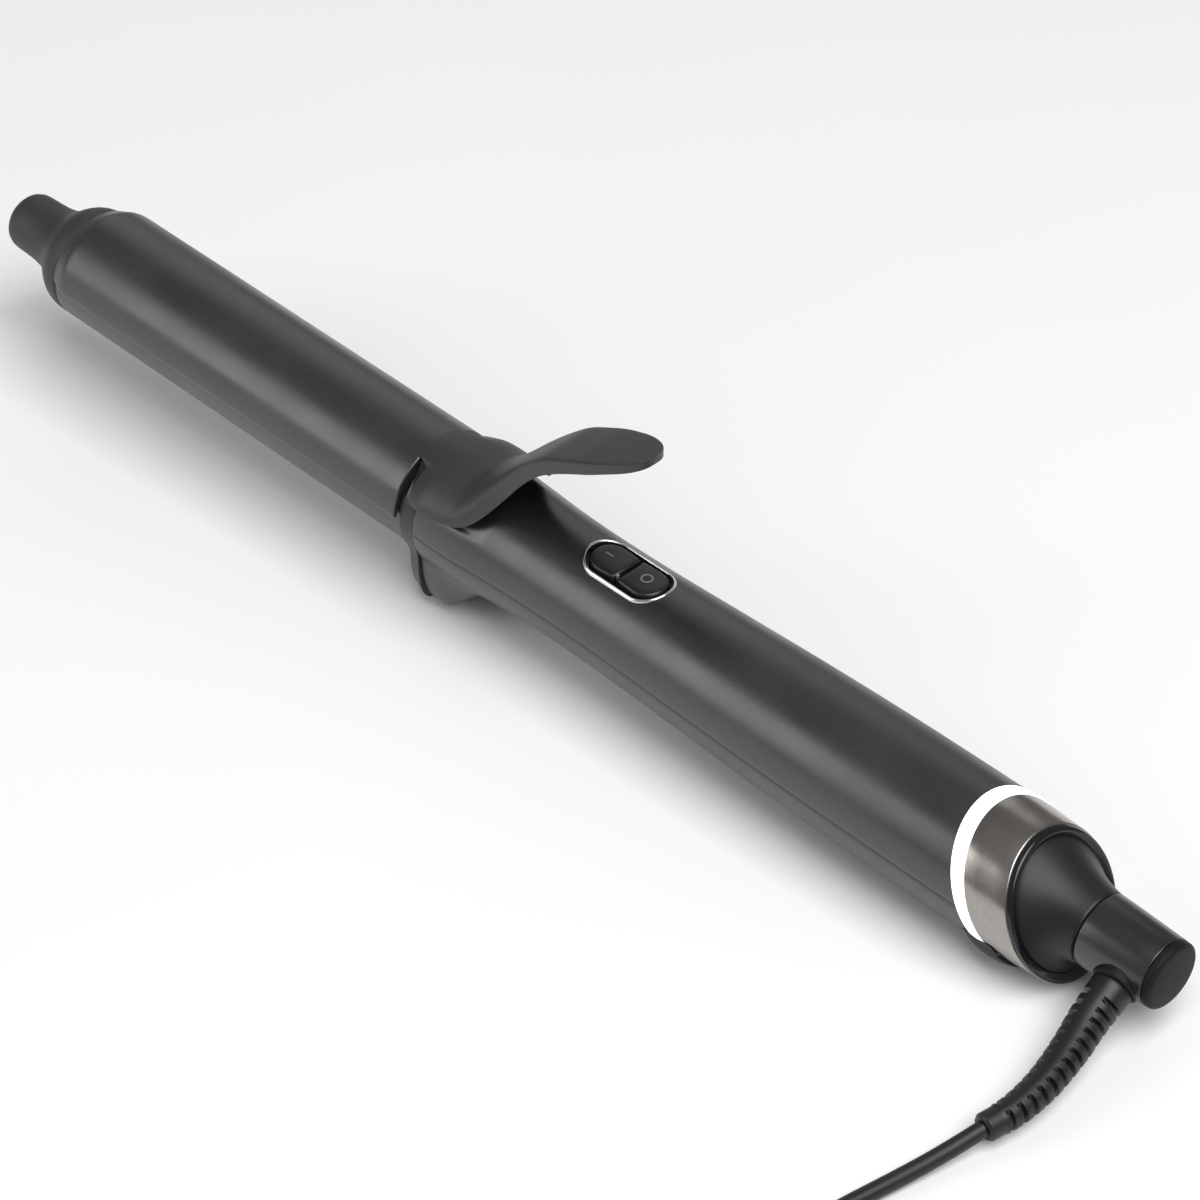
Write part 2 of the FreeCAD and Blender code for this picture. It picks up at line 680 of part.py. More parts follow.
# The strain relief's middle line: it points out of the swivel and bends level.
RELIEF_LINE = Part.BSplineCurve()
RELIEF_LINE.interpolate([V(166.2, -5.35, 12.5), V(166.8, -14.6, 8.8), V(168.4, -22.4, 6.9),
                         V(169.9, -31.8, 5.6), V(170.0, -40.1, 4.8), V(168.7, -47.7, 4.4)])
RELIEF_END = RELIEF_LINE.value(RELIEF_LINE.LastParameter)
RELIEF_HEADING = RELIEF_LINE.tangent(RELIEF_LINE.LastParameter)[0]


def strain_relief():
    """A tapered sleeve: round sections on the smooth middle line."""
    line = RELIEF_LINE
    stations = 9
    rings = []
    for i in range(stations):
        share = i / (stations - 1)
        at = line.FirstParameter + share * (line.LastParameter - line.FirstParameter)
        radius = RELIEF_ROOT_R + (RELIEF_TIP_R - RELIEF_ROOT_R) * share
        rings.append(Part.Wire([Part.makeCircle(radius, line.value(at), line.tangent(at)[0])]))
    return Part.makeLoft(rings, True)


# The coil of put-away cord lies on its tie, beside the cord's end.
COIL_X = 192.0
COIL_Y = -116.0
COIL_LIFT = 0.7
COIL_RINGS = 5            # turns side by side
COIL_LAYERS = 4           # turns on each other
COIL_INNER_R = 8 * CORD_R # middle of the innermost turn
COIL_MID_R = COIL_INNER_R + (COIL_RINGS - 1) * CORD_R
COIL_OUTER_R = COIL_INNER_R + (COIL_RINGS - 1) * 2 * CORD_R + CORD_R
COIL_HEIGHT = COIL_LAYERS * 2 * CORD_R
CORD_Z = CORD_R + 0.05    # the cord's middle where it lies on the surface
SIDE_R = COIL_OUTER_R + CORD_R + 0.05
PLUG_HALF_HEIGHT = 6.6
PLUG_Z = PLUG_HALF_HEIGHT + 0.05

CORD_ROUTE = [RELIEF_END, RELIEF_END + RELIEF_HEADING * 8.2, V(164.2, -67.0, CORD_Z + 0.2),
              V(161.8, -81.0, CORD_Z), V(161.2, -98.0, CORD_Z), V(COIL_X - SIDE_R, COIL_Y, CORD_Z)]
TAIL_X = COIL_X + SIDE_R + 0.6
TAIL_ROUTE = [V(COIL_X + SIDE_R, COIL_Y, PLUG_Z), V(TAIL_X, COIL_Y + 8, PLUG_Z), V(TAIL_X, COIL_Y + 16, PLUG_Z)]


def cord_coil():
    base = V(COIL_X, COIL_Y, COIL_LIFT)
    ring = Part.makeCylinder(COIL_OUTER_R, COIL_HEIGHT, base)
    return ring.cut(Part.makeCylinder(COIL_INNER_R - CORD_R, COIL_HEIGHT + 2, base - V(0, 0, 1)))


def cord_tie():
    """A soft strap round the coil's turns, clear of where the cord comes and goes."""
    gap = 0.06
    thick = 0.6
    bow = 0.4               # how far the turns curve within the strap's width
    y_in = COIL_Y + COIL_INNER_R - CORD_R - bow - gap
    y_out = COIL_Y + COIL_OUTER_R + gap
    z_low = COIL_LIFT - gap
    z_high = COIL_LIFT + COIL_HEIGHT + gap
    strap = box(COIL_X - 3, COIL_X + 3, y_in - thick, y_out + thick, z_low - thick, z_high + thick)
    return strap.cut(box(COIL_X - 9, COIL_X + 9, y_in, y_out, z_low, z_high))


PLUG_LENGTH = 34.0
PLUG_NECK = 11.0
PLUG_NECK_R = 5.4
PLUG_SHOULDER = 13.0
PLUG_PITCH = 18.6
PLUG_PIN_R = 2.0
PLUG_PIN_LENGTH = 19.0
PLUG_PIN_ROOT = 8.0       # how deep each pin sits in the plug
PLUG_PIN_ROOT_R = 1.5     # and its radius there
PLUG_PIN_LAP = 1.0        # the root runs this far into the pin proper
PLUG_HALF_WIDTH = PLUG_PITCH / 2 + 7.6


def plug_body():
    """A slim two-pin mains plug, lying flat with its pins along +Y."""
    start = TAIL_ROUTE[-1]
    neck = Part.makeCone(3.0, PLUG_NECK_R, PLUG_NECK + 0.5, start, Y_AXIS)
    half = [(PLUG_NECK_R - 0.2, PLUG_NECK), (PLUG_HALF_WIDTH, PLUG_NECK + PLUG_SHOULDER),
            (PLUG_HALF_WIDTH, PLUG_LENGTH)]
    around = half + [(-x, y) for x, y in reversed(half)] + half[:1]
    base = start - V(0, 0, PLUG_HALF_HEIGHT)
    outline = Part.makePolygon([base + V(x, y, 0) for x, y in around])
    body = Part.Face(outline).extrude(V(0, 0, 2 * PLUG_HALF_HEIGHT)).fuse(neck)
    for hand in (-1, 1):
        body = body.cut(plug_pin(hand))
    return body.removeSplitter()


def plug_pin(hand):
    start = TAIL_ROUTE[-1] + V(hand * PLUG_PITCH / 2, PLUG_LENGTH, 0)
    root_start = start - V(0, PLUG_PIN_ROOT, 0)
    root = Part.makeCylinder(PLUG_PIN_ROOT_R, PLUG_PIN_ROOT + PLUG_PIN_LAP, root_start, Y_AXIS)
    straight = PLUG_PIN_LENGTH - PLUG_PIN_R
    pin = Part.makeCylinder(PLUG_PIN_R, straight, start, Y_AXIS)
    nose = Part.makeSphere(PLUG_PIN_R, start + V(0, straight, 0))
    return pin.fuse([root, nose]).removeSplitter()


# ---- every piece as its own node ----
FLOOR = box(-400, 400, -400, 400, -50, 0)

local_parts = {
    "cool_tip": cool_tip(),
    "barrel": barrel(),
    "heat_spreader_upper": heat_spreader(1),
    "heat_spreader_lower": heat_spreader(-1),
    "heater_plate": heater_plate(),
    "thermistor": thermistor(),
    "thermal_fuse": thermal_fuse(),
    "lead_live": wire_lead(-3.0, -4.9),
    "lead_neutral": wire_lead(-6.0, -7.4),
    "barrel_carrier": barrel_carrier(),
    "front_collar": front_collar(),
    "handle_upper": handle_half(1),
    "handle_lower": handle_half(-1),
    "stand_pad": stand_pad(),
    "clamp_blade": clamp_blade(),
    "lever": lever(),
    "rivet_left": rivet(RIVET_YS[0]),
    "rivet_right": rivet(RIVET_YS[1]),
    "hinge_pin": hinge_pin(),
    "torsion_spring": torsion_spring(),
    "switch_bezel": switch_bezel(),
    "switch_tray": switch_tray(),
    "button_temperature": button(-1),
    "button_power": button(1),
    "indicator_pipe": indicator_pipe(),
    "circuit_board": circuit_board(),
    "tact_switch_front": tact_switch(-1),
    "tact_switch_rear": tact_switch(1),
    "mains_filter": mains_filter(),
    "capacitor": capacitor(),
    "light_ring": light_ring(),
    "metal_band": metal_band(),
    "rear_rim": rear_rim(),
    "end_cone": end_cone(),
    "rear_foot": rear_foot(),
    "swivel_retainer": swivel_retainer(),
    "swivel_body": swivel_body(),
    "swivel_cap": swivel_cap(),
}
for number in (1, 2):
    local_parts["contact_ring_%d" % number] = contact_ring(number - 1)
    local_parts["contact_brush_%d" % number] = contact_brush(number - 1)
for number, place in enumerate(SCREW_PLACES, 1):
    local_parts["case_screw_%d" % number] = screw(place)

world_parts = {
    "strain_relief": strain_relief(),
    "cord_coil": cord_coil(),
    "cord_tie": cord_tie(),
    "plug_body": plug_body(),
    "plug_pin_1": plug_pin(-1),
    "plug_pin_2": plug_pin(1),
}
for name, route in (("cord_tube", CORD_ROUTE), ("cord_tail", TAIL_ROUTE)):
    solid, length = round_path(route, CORD_R, name)
    print(name, "length %.1f, volume over section %.1f" % (length, solid.Volume / (math.pi * CORD_R ** 2)))
    world_parts[name] = solid
turns = COIL_RINGS * COIL_LAYERS
print("coil length %.0f" % (turns * 2 * math.pi * COIL_MID_R))

nodes = {name: to_world(shape) for name, shape in local_parts.items()}
for name in ("stand_pad", "rear_foot"):
    nodes[name] = nodes[name].cut(FLOOR)
nodes["swivel_body"] = nodes["swivel_body"].cut(world_parts["strain_relief"])
nodes.update(world_parts)
for name, shape in nodes.items():
    shape.exportStep("parts/%s.step" % name)
    bounds = shape.BoundBox
    print("%-20s solids %d valid %s x %.2f..%.2f y %.2f..%.2f z %.2f..%.2f vol %.0f" % (
        name, len(shape.Solids), shape.isValid(), bounds.XMin, bounds.XMax, bounds.YMin, bounds.YMax,
        bounds.ZMin, bounds.ZMax, shape.Volume))
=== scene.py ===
import bpy
import bmesh
import json
import math
from mathutils import Matrix, Vector

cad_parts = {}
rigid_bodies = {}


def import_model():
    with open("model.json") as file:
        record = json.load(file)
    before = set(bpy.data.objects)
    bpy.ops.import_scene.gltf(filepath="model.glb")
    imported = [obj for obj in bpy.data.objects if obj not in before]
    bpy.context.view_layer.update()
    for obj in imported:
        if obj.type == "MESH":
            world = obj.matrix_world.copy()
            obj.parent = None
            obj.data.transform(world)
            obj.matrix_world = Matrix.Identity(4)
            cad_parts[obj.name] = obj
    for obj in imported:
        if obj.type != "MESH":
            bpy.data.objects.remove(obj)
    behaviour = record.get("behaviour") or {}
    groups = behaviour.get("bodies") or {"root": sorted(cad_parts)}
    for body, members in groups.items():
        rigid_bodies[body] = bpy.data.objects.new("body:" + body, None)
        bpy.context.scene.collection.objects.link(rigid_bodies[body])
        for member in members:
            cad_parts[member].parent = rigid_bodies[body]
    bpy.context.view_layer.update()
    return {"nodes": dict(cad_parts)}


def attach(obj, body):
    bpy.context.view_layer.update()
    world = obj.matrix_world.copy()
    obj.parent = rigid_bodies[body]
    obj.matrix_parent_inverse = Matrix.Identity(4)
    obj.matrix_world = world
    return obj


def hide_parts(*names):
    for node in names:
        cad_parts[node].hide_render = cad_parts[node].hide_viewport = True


# The looks of a curling iron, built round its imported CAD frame.
#
# Most pieces are drawn in the iron's own frame, in millimetres: the barrel's axis is X,
# the cool tip is at -X and the lever and buttons are on top (+Z). LAY_DOWN takes that
# frame to the resting one, in metres. The cord is drawn in the resting frame.

for startup_object in list(bpy.data.objects):
    bpy.data.objects.remove(startup_object)

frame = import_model()

MM = 0.001
TILT = math.radians(2.59)
LAY_DOWN = (Matrix.Translation((-0.0351, 0, 0.0243)) @ Matrix.Rotation(TILT, 4, "Y")
            @ Matrix.Scale(MM, 4))
RESTING = Matrix.Scale(MM, 4)
IN_PLACE = Matrix.Identity(4)   # for points that are in resting metres already


# ---------------------------------------------------------------- small maths
def mix(a, b, share):
    return a + (b - a) * share


def ease(low, high, value):
    """0 below low, 1 above high, and a smooth step between."""
    share = min(1.0, max(0.0, (value - low) / (high - low)))
    return share * share * (3 - 2 * share)


def steps(low, high, count):
    return [mix(low, high, i / count) for i in range(count + 1)]


def through(table, x):
    """Values at x on smooth curves through the table's rows; each row starts with its x."""
    if x <= table[0][0]:
        return table[0][1:]
    if x >= table[-1][0]:
        return table[-1][1:]
    last = len(table) - 1
    i = max(k for k in range(last) if table[k][0] <= x)
    before, here, after, beyond = table[max(i - 1, 0)], table[i], table[i + 1], table[min(i + 2, last)]
    span = after[0] - here[0]
    t = (x - here[0]) / span
    found = []
    for k in range(1, len(here)):
        slope_a = (after[k] - before[k]) / max(after[0] - before[0], 1e-6) * span
        slope_b = (beyond[k] - here[k]) / max(beyond[0] - here[0], 1e-6) * span
        value = ((2 * t ** 3 - 3 * t ** 2 + 1) * here[k] + (t ** 3 - 2 * t ** 2 + t) * slope_a
                 + (3 * t ** 2 - 2 * t ** 3) * after[k] + (t ** 3 - t ** 2) * slope_b)
        found.append(value)
    return found


def rounded(corners, radii):
    """A 2D line with each corner between its ends rounded by its own radius, at most."""
    points = [corners[0]]
    for i in range(1, len(corners) - 1):
        corner = Vector(corners[i])
        to_before = Vector(corners[i - 1]) - corner
        to_after = Vector(corners[i + 1]) - corner
        reach = min(radii[i], 0.45 * to_before.length, 0.45 * to_after.length)
        a = corner + to_before.normalized() * reach
        b = corner + to_after.normalized() * reach
        for t in steps(0, 1, 5):
            points.append(tuple(a * (1 - t) ** 2 + corner * (2 * t * (1 - t)) + b * t ** 2))
    points.append(corners[-1])
    return points


# ---------------------------------------------------------------- materials
def new_material(name):
    material = bpy.data.materials.new(name)
    material.use_nodes = True
    tree = material.node_tree
    return material, tree, tree.nodes["Principled BSDF"]


def link(tree, a, b):
    tree.links.new(a, b)


def grain(tree, scale, detail=2.0, stretch=(1, 1, 1)):
    """Noise in the object's own space, in metres."""
    where = tree.nodes.new("ShaderNodeTexCoord")
    mapping = tree.nodes.new("ShaderNodeMapping")
    mapping.inputs["Scale"].default_value = stretch
    noise = tree.nodes.new("ShaderNodeTexNoise")
    noise.inputs["Scale"].default_value = scale
    noise.inputs["Detail"].default_value = detail
    link(tree, where.outputs["Object"], mapping.inputs["Vector"])
    link(tree, mapping.outputs["Vector"], noise.inputs["Vector"])
    return noise.outputs["Fac"]


def ramp(tree, value, low, high, a, b):
    """A colour or grey that goes from a to b as value goes from low to high."""
    node = tree.nodes.new("ShaderNodeValToRGB")
    node.color_ramp.elements[0].position = low
    node.color_ramp.elements[1].position = high
    node.color_ramp.elements[0].color = (*a, 1) if isinstance(a, tuple) else (a, a, a, 1)
    node.color_ramp.elements[1].color = (*b, 1) if isinstance(b, tuple) else (b, b, b, 1)
    link(tree, value, node.inputs["Fac"])
    return node.outputs["Color"]


def bump(tree, shader, height, strength, distance):
    node = tree.nodes.new("ShaderNodeBump")
    node.inputs["Strength"].default_value = strength
    node.inputs["Distance"].default_value = distance
    link(tree, height, node.inputs["Height"])
    link(tree, node.outputs["Normal"], shader.inputs["Normal"])


def plastic(name, dark, light, rough, rough_spread=0.05, speck=2600, specular=0.5, sheen=0.0,
            strength=0.35):
    """Moulded plastic or a satin coat: fine eroded grain, faint clouding, uneven gloss."""
    material, tree, shader = new_material(name)
    fine = grain(tree, speck, 3.0)
    cloud = grain(tree, 45, 2.0)
    both = tree.nodes.new("ShaderNodeMath")
    both.operation = "MULTIPLY_ADD"
    both.inputs[1].default_value = 0.6
    link(tree, fine, both.inputs[0])
    lesser = tree.nodes.new("ShaderNodeMath")
    lesser.operation = "MULTIPLY"
    lesser.inputs[1].default_value = 0.4
    link(tree, cloud, lesser.inputs[0])
    link(tree, lesser.outputs[0], both.inputs[2])
    link(tree, ramp(tree, both.outputs[0], 0.3, 0.7, dark, light), shader.inputs["Base Color"])
    link(tree, ramp(tree, cloud, 0.3, 0.7, rough - rough_spread, rough + rough_spread),
         shader.inputs["Roughness"])
    shader.inputs["Specular IOR Level"].default_value = specular
    shader.inputs["Sheen Weight"].default_value = sheen
    bump(tree, shader, fine, strength, 0.00004)
    return material


def brushed_metal(name, dark, light, rough, stretch, scale=900):
    """Metal with fine brush lines; stretch flattens the noise along the brushing."""
    material, tree, shader = new_material(name)
    lines = grain(tree, scale, 4.0, stretch)
    broad = grain(tree, 60, 2.0)
    link(tree, ramp(tree, lines, 0.25, 0.75, dark, light), shader.inputs["Base Color"])
    link(tree, ramp(tree, broad, 0.3, 0.7, rough - 0.04, rough + 0.05), shader.inputs["Roughness"])
    shader.inputs["Metallic"].default_value = 1.0
    bump(tree, shader, lines, 0.25, 0.00002)
    return material


def lit_ring_material():
    """Milky plastic lit from behind, a little brighter along its middle."""
    material, tree, shader = new_material("lit_diffuser")
    cloud = grain(tree, 300, 2.0)
    white = (1.0, 1.0, 1.0)
    link(tree, ramp(tree, cloud, 0.2, 0.8, (0.93, 0.95, 0.96), white), shader.inputs["Base Color"])
    link(tree, ramp(tree, cloud, 0.2, 0.8, (0.96, 0.98, 1.0), white), shader.inputs["Emission Color"])
    shader.inputs["Emission Strength"].default_value = 1.6
    shader.inputs["Roughness"].default_value = 0.35
    return material


def woven(name, dark, light, pitch):
    """A plain weave of two crossing sets of threads."""
    material, tree, shader = new_material(name)
    where = tree.nodes.new("ShaderNodeTexCoord")
    sets = []
    for direction in ("X", "Y"):
        wave = tree.nodes.new("ShaderNodeTexWave")
        wave.bands_direction = direction
        wave.inputs["Scale"].default_value = pitch
        wave.inputs["Distortion"].default_value = 0.6
        link(tree, where.outputs["Object"], wave.inputs["Vector"])
        sets.append(wave.outputs["Fac"])
    crossing = tree.nodes.new("ShaderNodeMath")
    crossing.operation = "MULTIPLY"
    link(tree, sets[0], crossing.inputs[0])
    link(tree, sets[1], crossing.inputs[1])
    link(tree, ramp(tree, crossing.outputs[0], 0.1, 0.7, dark, light), shader.inputs["Base Color"])
    link(tree, ramp(tree, crossing.outputs[0], 0.0, 1.0, 0.75, 0.9), shader.inputs["Roughness"])
    bump(tree, shader, crossing.outputs[0], 0.5, 0.0001)
    return material


COAT = plastic("barrel_coat", (0.011, 0.011, 0.013), (0.024, 0.024, 0.026), 0.34,
               specular=1.0, strength=0.5)
HANDLE_SKIN = plastic("handle_skin", (0.009, 0.009, 0.010), (0.020, 0.020, 0.021), 0.36,
                      speck=2400, specular=1.0, strength=0.5)
LEVER_SKIN = plastic("lever_skin", (0.015, 0.015, 0.016), (0.024, 0.024, 0.025), 0.48,
                     speck=3000, specular=0.7)
SWIVEL_SKIN = plastic("swivel_skin", (0.007, 0.007, 0.008), (0.013, 0.013, 0.014), 0.30,
                      speck=3200, specular=0.9)
CONE_SKIN = plastic("cone_skin", (0.007, 0.007, 0.008), (0.012, 0.012, 0.013), 0.42,
                    speck=3200, specular=0.45)
CAP_SKIN = plastic("cap_skin", (0.005, 0.005, 0.006), (0.009, 0.009, 0.010), 0.58,
                   speck=3200, specular=0.2)
TIP_SKIN = plastic("tip_skin", (0.024, 0.024, 0.025), (0.034, 0.034, 0.035), 0.52, speck=3600)
GUARD_SKIN = plastic("guard_skin", (0.016, 0.016, 0.017), (0.024, 0.024, 0.025), 0.40, speck=3600)
GLOSS_BLACK = plastic("gloss_black", (0.006, 0.006, 0.007), (0.009, 0.009, 0.010), 0.16, 0.03,
                      speck=1800, strength=0.06)
SOFT_BLACK = plastic("soft_black", (0.006, 0.006, 0.006), (0.011, 0.011, 0.011), 0.62,
                     speck=2200, sheen=0.05)
KEY_SKIN = plastic("key_skin", (0.008, 0.008, 0.009), (0.014, 0.014, 0.015), 0.38, speck=3400)
CORD_SKIN = plastic("cord_skin", (0.005, 0.005, 0.006), (0.010, 0.010, 0.010), 0.44, speck=1500)
MARK_PAINT = plastic("mark_paint", (0.12, 0.12, 0.125), (0.16, 0.16, 0.165), 0.5, speck=5000)
LAMP_LENS = plastic("lamp_lens", (0.16, 0.165, 0.17), (0.22, 0.225, 0.23), 0.25,
                    speck=5000, strength=0.1)
INNER_PLASTIC = plastic("inner_plastic", (0.10, 0.10, 0.10), (0.16, 0.16, 0.16), 0.5, speck=1800)
CERAMIC = plastic("ceramic", (0.66, 0.64, 0.58), (0.78, 0.76, 0.70), 0.55, speck=2500)
SLEEVE = woven("glass_sleeve", (0.45, 0.43, 0.38), (0.72, 0.70, 0.64), 900)
BOARD_GREEN = plastic("board_green", (0.02, 0.10, 0.05), (0.03, 0.15, 0.08), 0.35, speck=700)
CHROME = brushed_metal("polished_chrome", (0.80, 0.80, 0.81), (0.92, 0.92, 0.93), 0.17,
                       (1, 1, 1), 400)
BAND_METAL = brushed_metal("warm_brushed_band", (0.30, 0.28, 0.262), (0.42, 0.397, 0.375), 0.21,
                           (18, 1, 1), 700)
ALONG_X = (1, 6, 6)
STEEL = brushed_metal("plain_steel", (0.42, 0.42, 0.43), (0.58, 0.58, 0.60), 0.32, ALONG_X)
ALUMINIUM = brushed_metal("plain_aluminium", (0.60, 0.60, 0.62), (0.74, 0.74, 0.76), 0.38, ALONG_X)
BRASS = brushed_metal("plain_brass", (0.52, 0.38, 0.14), (0.68, 0.52, 0.22), 0.28, ALONG_X)
GLOW = lit_ring_material()
STRAP = woven("tie_weave", (0.010, 0.010, 0.011), (0.035, 0.035, 0.037), 1400)


# ---------------------------------------------------------------- mesh building
def finish_mesh(mesh, sharp_deg):
    shaping = bmesh.new()
    shaping.from_mesh(mesh)
    bmesh.ops.remove_doubles(shaping, verts=shaping.verts, dist=1e-7)
    bmesh.ops.recalc_face_normals(shaping, faces=shaping.faces)
    shaping.to_mesh(mesh)
    shaping.free()
    mesh.polygons.foreach_set("use_smooth", [True] * len(mesh.polygons))
    mesh.set_sharp_from_angle(angle=math.radians(sharp_deg))


def piece(name, verts, faces, body, material, stands_for=(), slot=None, place=LAY_DOWN, sharp=38):
    """One visible piece that rides a body; place takes its points to the resting frame."""
    mesh = bpy.data.meshes.new(name)
    mesh.from_pydata([place @ Vector(v) for v in verts], [], faces)
    finish_mesh(mesh, sharp)
    mesh.materials.append(material)
    obj = bpy.data.objects.new(name, mesh)
    bpy.context.scene.collection.objects.link(obj)
    if body:
        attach(obj, body)
    if stands_for:
        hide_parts(*stands_for)
    return obj


def loft(rings, caps=True):
    """Vertices and faces of a skin over closed rings with equal counts of points."""
    count = len(rings[0])
    verts = [p for ring in rings for p in ring]
    faces = []
    for r in range(len(rings) - 1):
        for k in range(count):
            a = r * count + k
            b = r * count + (k + 1) % count
            faces.append((a, b, b + count, a + count))
    if caps:
        faces.append(tuple(range(count))[::-1])
        faces.append(tuple(range((len(rings) - 1) * count, len(rings) * count)))
    return verts, faces


def turned(profile, segments=120, slope=0.0, closed=False):
    """A round piece: profile is (x, radius) points; slope tips its rings forward at the top."""
    rings = []
    for x, radius in profile:
        ring = []
        for k in range(segments):
            a = 2 * math.pi * k / segments
            z = radius * math.cos(a)
            ring.append((x - slope * z, radius * math.sin(a), z))
        rings.append(ring)
    if closed:
        rings.append(rings[0])
    return loft(rings, caps=not closed and profile[0][1] > 1e-6)


def merge(*parts):
    """Several (verts, faces) pairs as one."""
    verts, faces = [], []
    for some_verts, some_faces in parts:
        shift = len(verts)
        verts += list(some_verts)
        faces += [tuple(i + shift for i in face) for face in some_faces]
    return verts, faces


def cut_away(obj, cutter):
    """Takes cutter's space out of obj, exactly, and removes cutter."""
    modifier = obj.modifiers.new("cut", "BOOLEAN")
    modifier.object = cutter
    modifier.operation = "DIFFERENCE"
    modifier.solver = "EXACT"
    bpy.context.view_layer.update()
    cut = bpy.data.meshes.new_from_object(obj.evaluated_get(bpy.context.evaluated_depsgraph_get()))
    obj.modifiers.clear()
    cut.set_sharp_from_angle(angle=math.radians(45))
    obj.data = cut
    bpy.data.objects.remove(cutter)


def soften(obj, width, angle):
    """Rounds the edges sharper than angle, in degrees, by a width in millimetres."""
    modifier = obj.modifiers.new("edges", "BEVEL")
    modifier.width = width * MM
    modifier.segments = 2
    modifier.limit_method = "ANGLE"
    modifier.angle_limit = math.radians(angle)


# ---------------------------------------------------------------- hot end
def cool_tip():
    # x, radius
    nose = [(-137.9, 0.0), (-137.88, 1.5), (-137.75, 3.2), (-137.45, 4.6), (-136.9, 5.75),
            (-136.1, 6.5), (-135.1, 6.9), (-133.8, 7.05), (-131.5, 7.1), (-129.5, 7.18),
            (-127.5, 7.3), (-125.5, 7.6), (-124.2, 7.85), (-123.2, 8.12), (-122.2, 8.5),
            (-121.2, 9.08), (-120.2, 9.75), (-119.2, 10.45), (-118.3, 11.1), (-117.4, 11.7),
            (-116.4, 12.25), (-115.3, 12.65), (-114.2, 12.88), (-113.0, 13.0), (-111.7, 13.03),
            (-111.5, 12.9), (-111.45, 12.6)]
    inside = [(-111.45, 11.8), (-107.0, 11.8), (-107.0, 10.6), (-117.0, 10.35), (-123.0, 5.2),
              (-133.0, 4.8), (-133.0, 0.0)]
    piece("tip_shell", *turned(nose + inside), "handle", TIP_SKIN, ["cool_tip"], "tip_plastic", sharp=50)


BARREL_R = 13.0


def barrel():
    profile = [(-111.4, 12.5), (-111.35, 12.85), (-111.15, BARREL_R), (-110, BARREL_R)]
    profile += [(x, BARREL_R) for x in steps(-108, 4, 28)]
    profile += [(11.8, BARREL_R), (12, BARREL_R - 0.2), (12, 12), (-111.4, 12)]
    piece("barrel_tube", *turned(profile, closed=True), "handle", COAT, ["barrel"], "barrel_coating")


BLADE_FRONT = -111.2
BLADE_REAR = 4.6
BLADE_R = 15.2
BLADE_INNER_R = 13.62
TONGUE_INNER_R = 13.65
BLADE_EDGE = math.radians(84)
BLADE_CREASE = math.radians(56)
TONGUE_EDGE = math.radians(24.5)


def blade_radius(x, angle):
    """The blade's outer radius: a soft ramp at its front and a slight flat beyond the crease."""
    rise = ease(BLADE_FRONT - 0.8, BLADE_FRONT + 4.6, x)
    radius = mix(13.7, BLADE_R, rise)
    past = max(0.0, abs(angle) - BLADE_CREASE)
    return radius - 1.05 * past ** 1.1 * rise


def blade():
    outer, inner = [], []
    angles = steps(-BLADE_EDGE, BLADE_EDGE, 72)
    nose_steps = (0, 0.08, 0.3, 0.7, 1.2, 1.8, 2.4, 3.0, 3.6, 4.2, 4.8, 5.4, 6.2, 7.4)
    stations = [BLADE_FRONT + d for d in nose_steps]
    stations += steps(-100, 4.0, 40) + [4.35, BLADE_REAR]
    for x in stations:
        end = min(x - BLADE_FRONT, BLADE_REAR - x)
        tuck = 0.25 * (1 - ease(0, 0.3, end))
        ring_out, ring_in = [], []
        for a in angles:
            corner = 3.0 * ease(math.radians(72), BLADE_EDGE, abs(a)) ** 2
            shifted = max(x, BLADE_FRONT + corner) if x < -90 else x
            r = blade_radius(shifted, a) - tuck
            edge = 0.22 * ease(BLADE_EDGE - 0.03, BLADE_EDGE, abs(a))
            ring_out.append((shifted, (r - edge) * math.sin(a), (r - edge) * math.cos(a)))
            low = min(BLADE_INNER_R, r - 0.12)
            ring_in.append((shifted, low * math.sin(a), low * math.cos(a)))
        outer.append(ring_out)
        inner.append(ring_in)
    rings = [a + b[::-1] for a, b in zip(outer, inner)]
    plate = loft(rings)
    tongue = []
    for x in (BLADE_REAR - 0.4, 7, 10, 13):
        across = steps(-TONGUE_EDGE, TONGUE_EDGE, 16)
        top = [(x, BLADE_R * math.sin(a), BLADE_R * math.cos(a)) for a in across]
        back = [(x, TONGUE_INNER_R * math.sin(a), TONGUE_INNER_R * math.cos(a))
                for a in steps(TONGUE_EDGE, -TONGUE_EDGE, 16)]
        tongue.append(top + back)
    piece("blade_plate", *merge(plate, loft(tongue)), "clamp", COAT, ["clamp_blade"], "barrel_coating")


# ---------------------------------------------------------------- lever
# x, lower edge z, half width there, top z, squareness of the arch
LEVER_ROWS = [(7.8, 7.9, 13.5, 15.75, 1.62), (9.5, 8.0, 14.1, 16.2, 1.62), (12, 8.2, 14.6, 16.8, 1.64),
              (15, 8.3, 14.6, 16.95, 1.68), (18, 8.5, 14.4, 16.9, 1.72), (21, 8.85, 13.95, 17.3, 1.8),
              (23, 9.3, 13.5, 18.7, 1.9), (25, 10.2, 12.8, 20.5, 2.0), (27, 11.8, 11.6, 22.3, 2.2),
              (29, 14.2, 10.2, 24.1, 2.6), (31, 17.0, 9.1, 26.0, 3.2), (34, 21.2, 8.35, 28.9, 4.6),
              (38, 26.6, 8.0, 32.5, 7.5), (43, 31.9, 8.0, 36.5, 10.0), (48, 35.5, 8.0, 39.2, 13.0),
              (53, 38.4, 8.0, 41.7, 14.0), (57, 40.4, 8.0, 43.4, 14.0), (62, 42.9, 8.0, 45.5, 14.0),
              (69.3, 45.9, 8.0, 48.2, 14.0)]
PADDLE_WIDEST = 50.0
PADDLE_END = 69.25
PADDLE_FULLNESS = 2.35
LEVER_FRONT = 7.8
LIP_REAR = 13.0
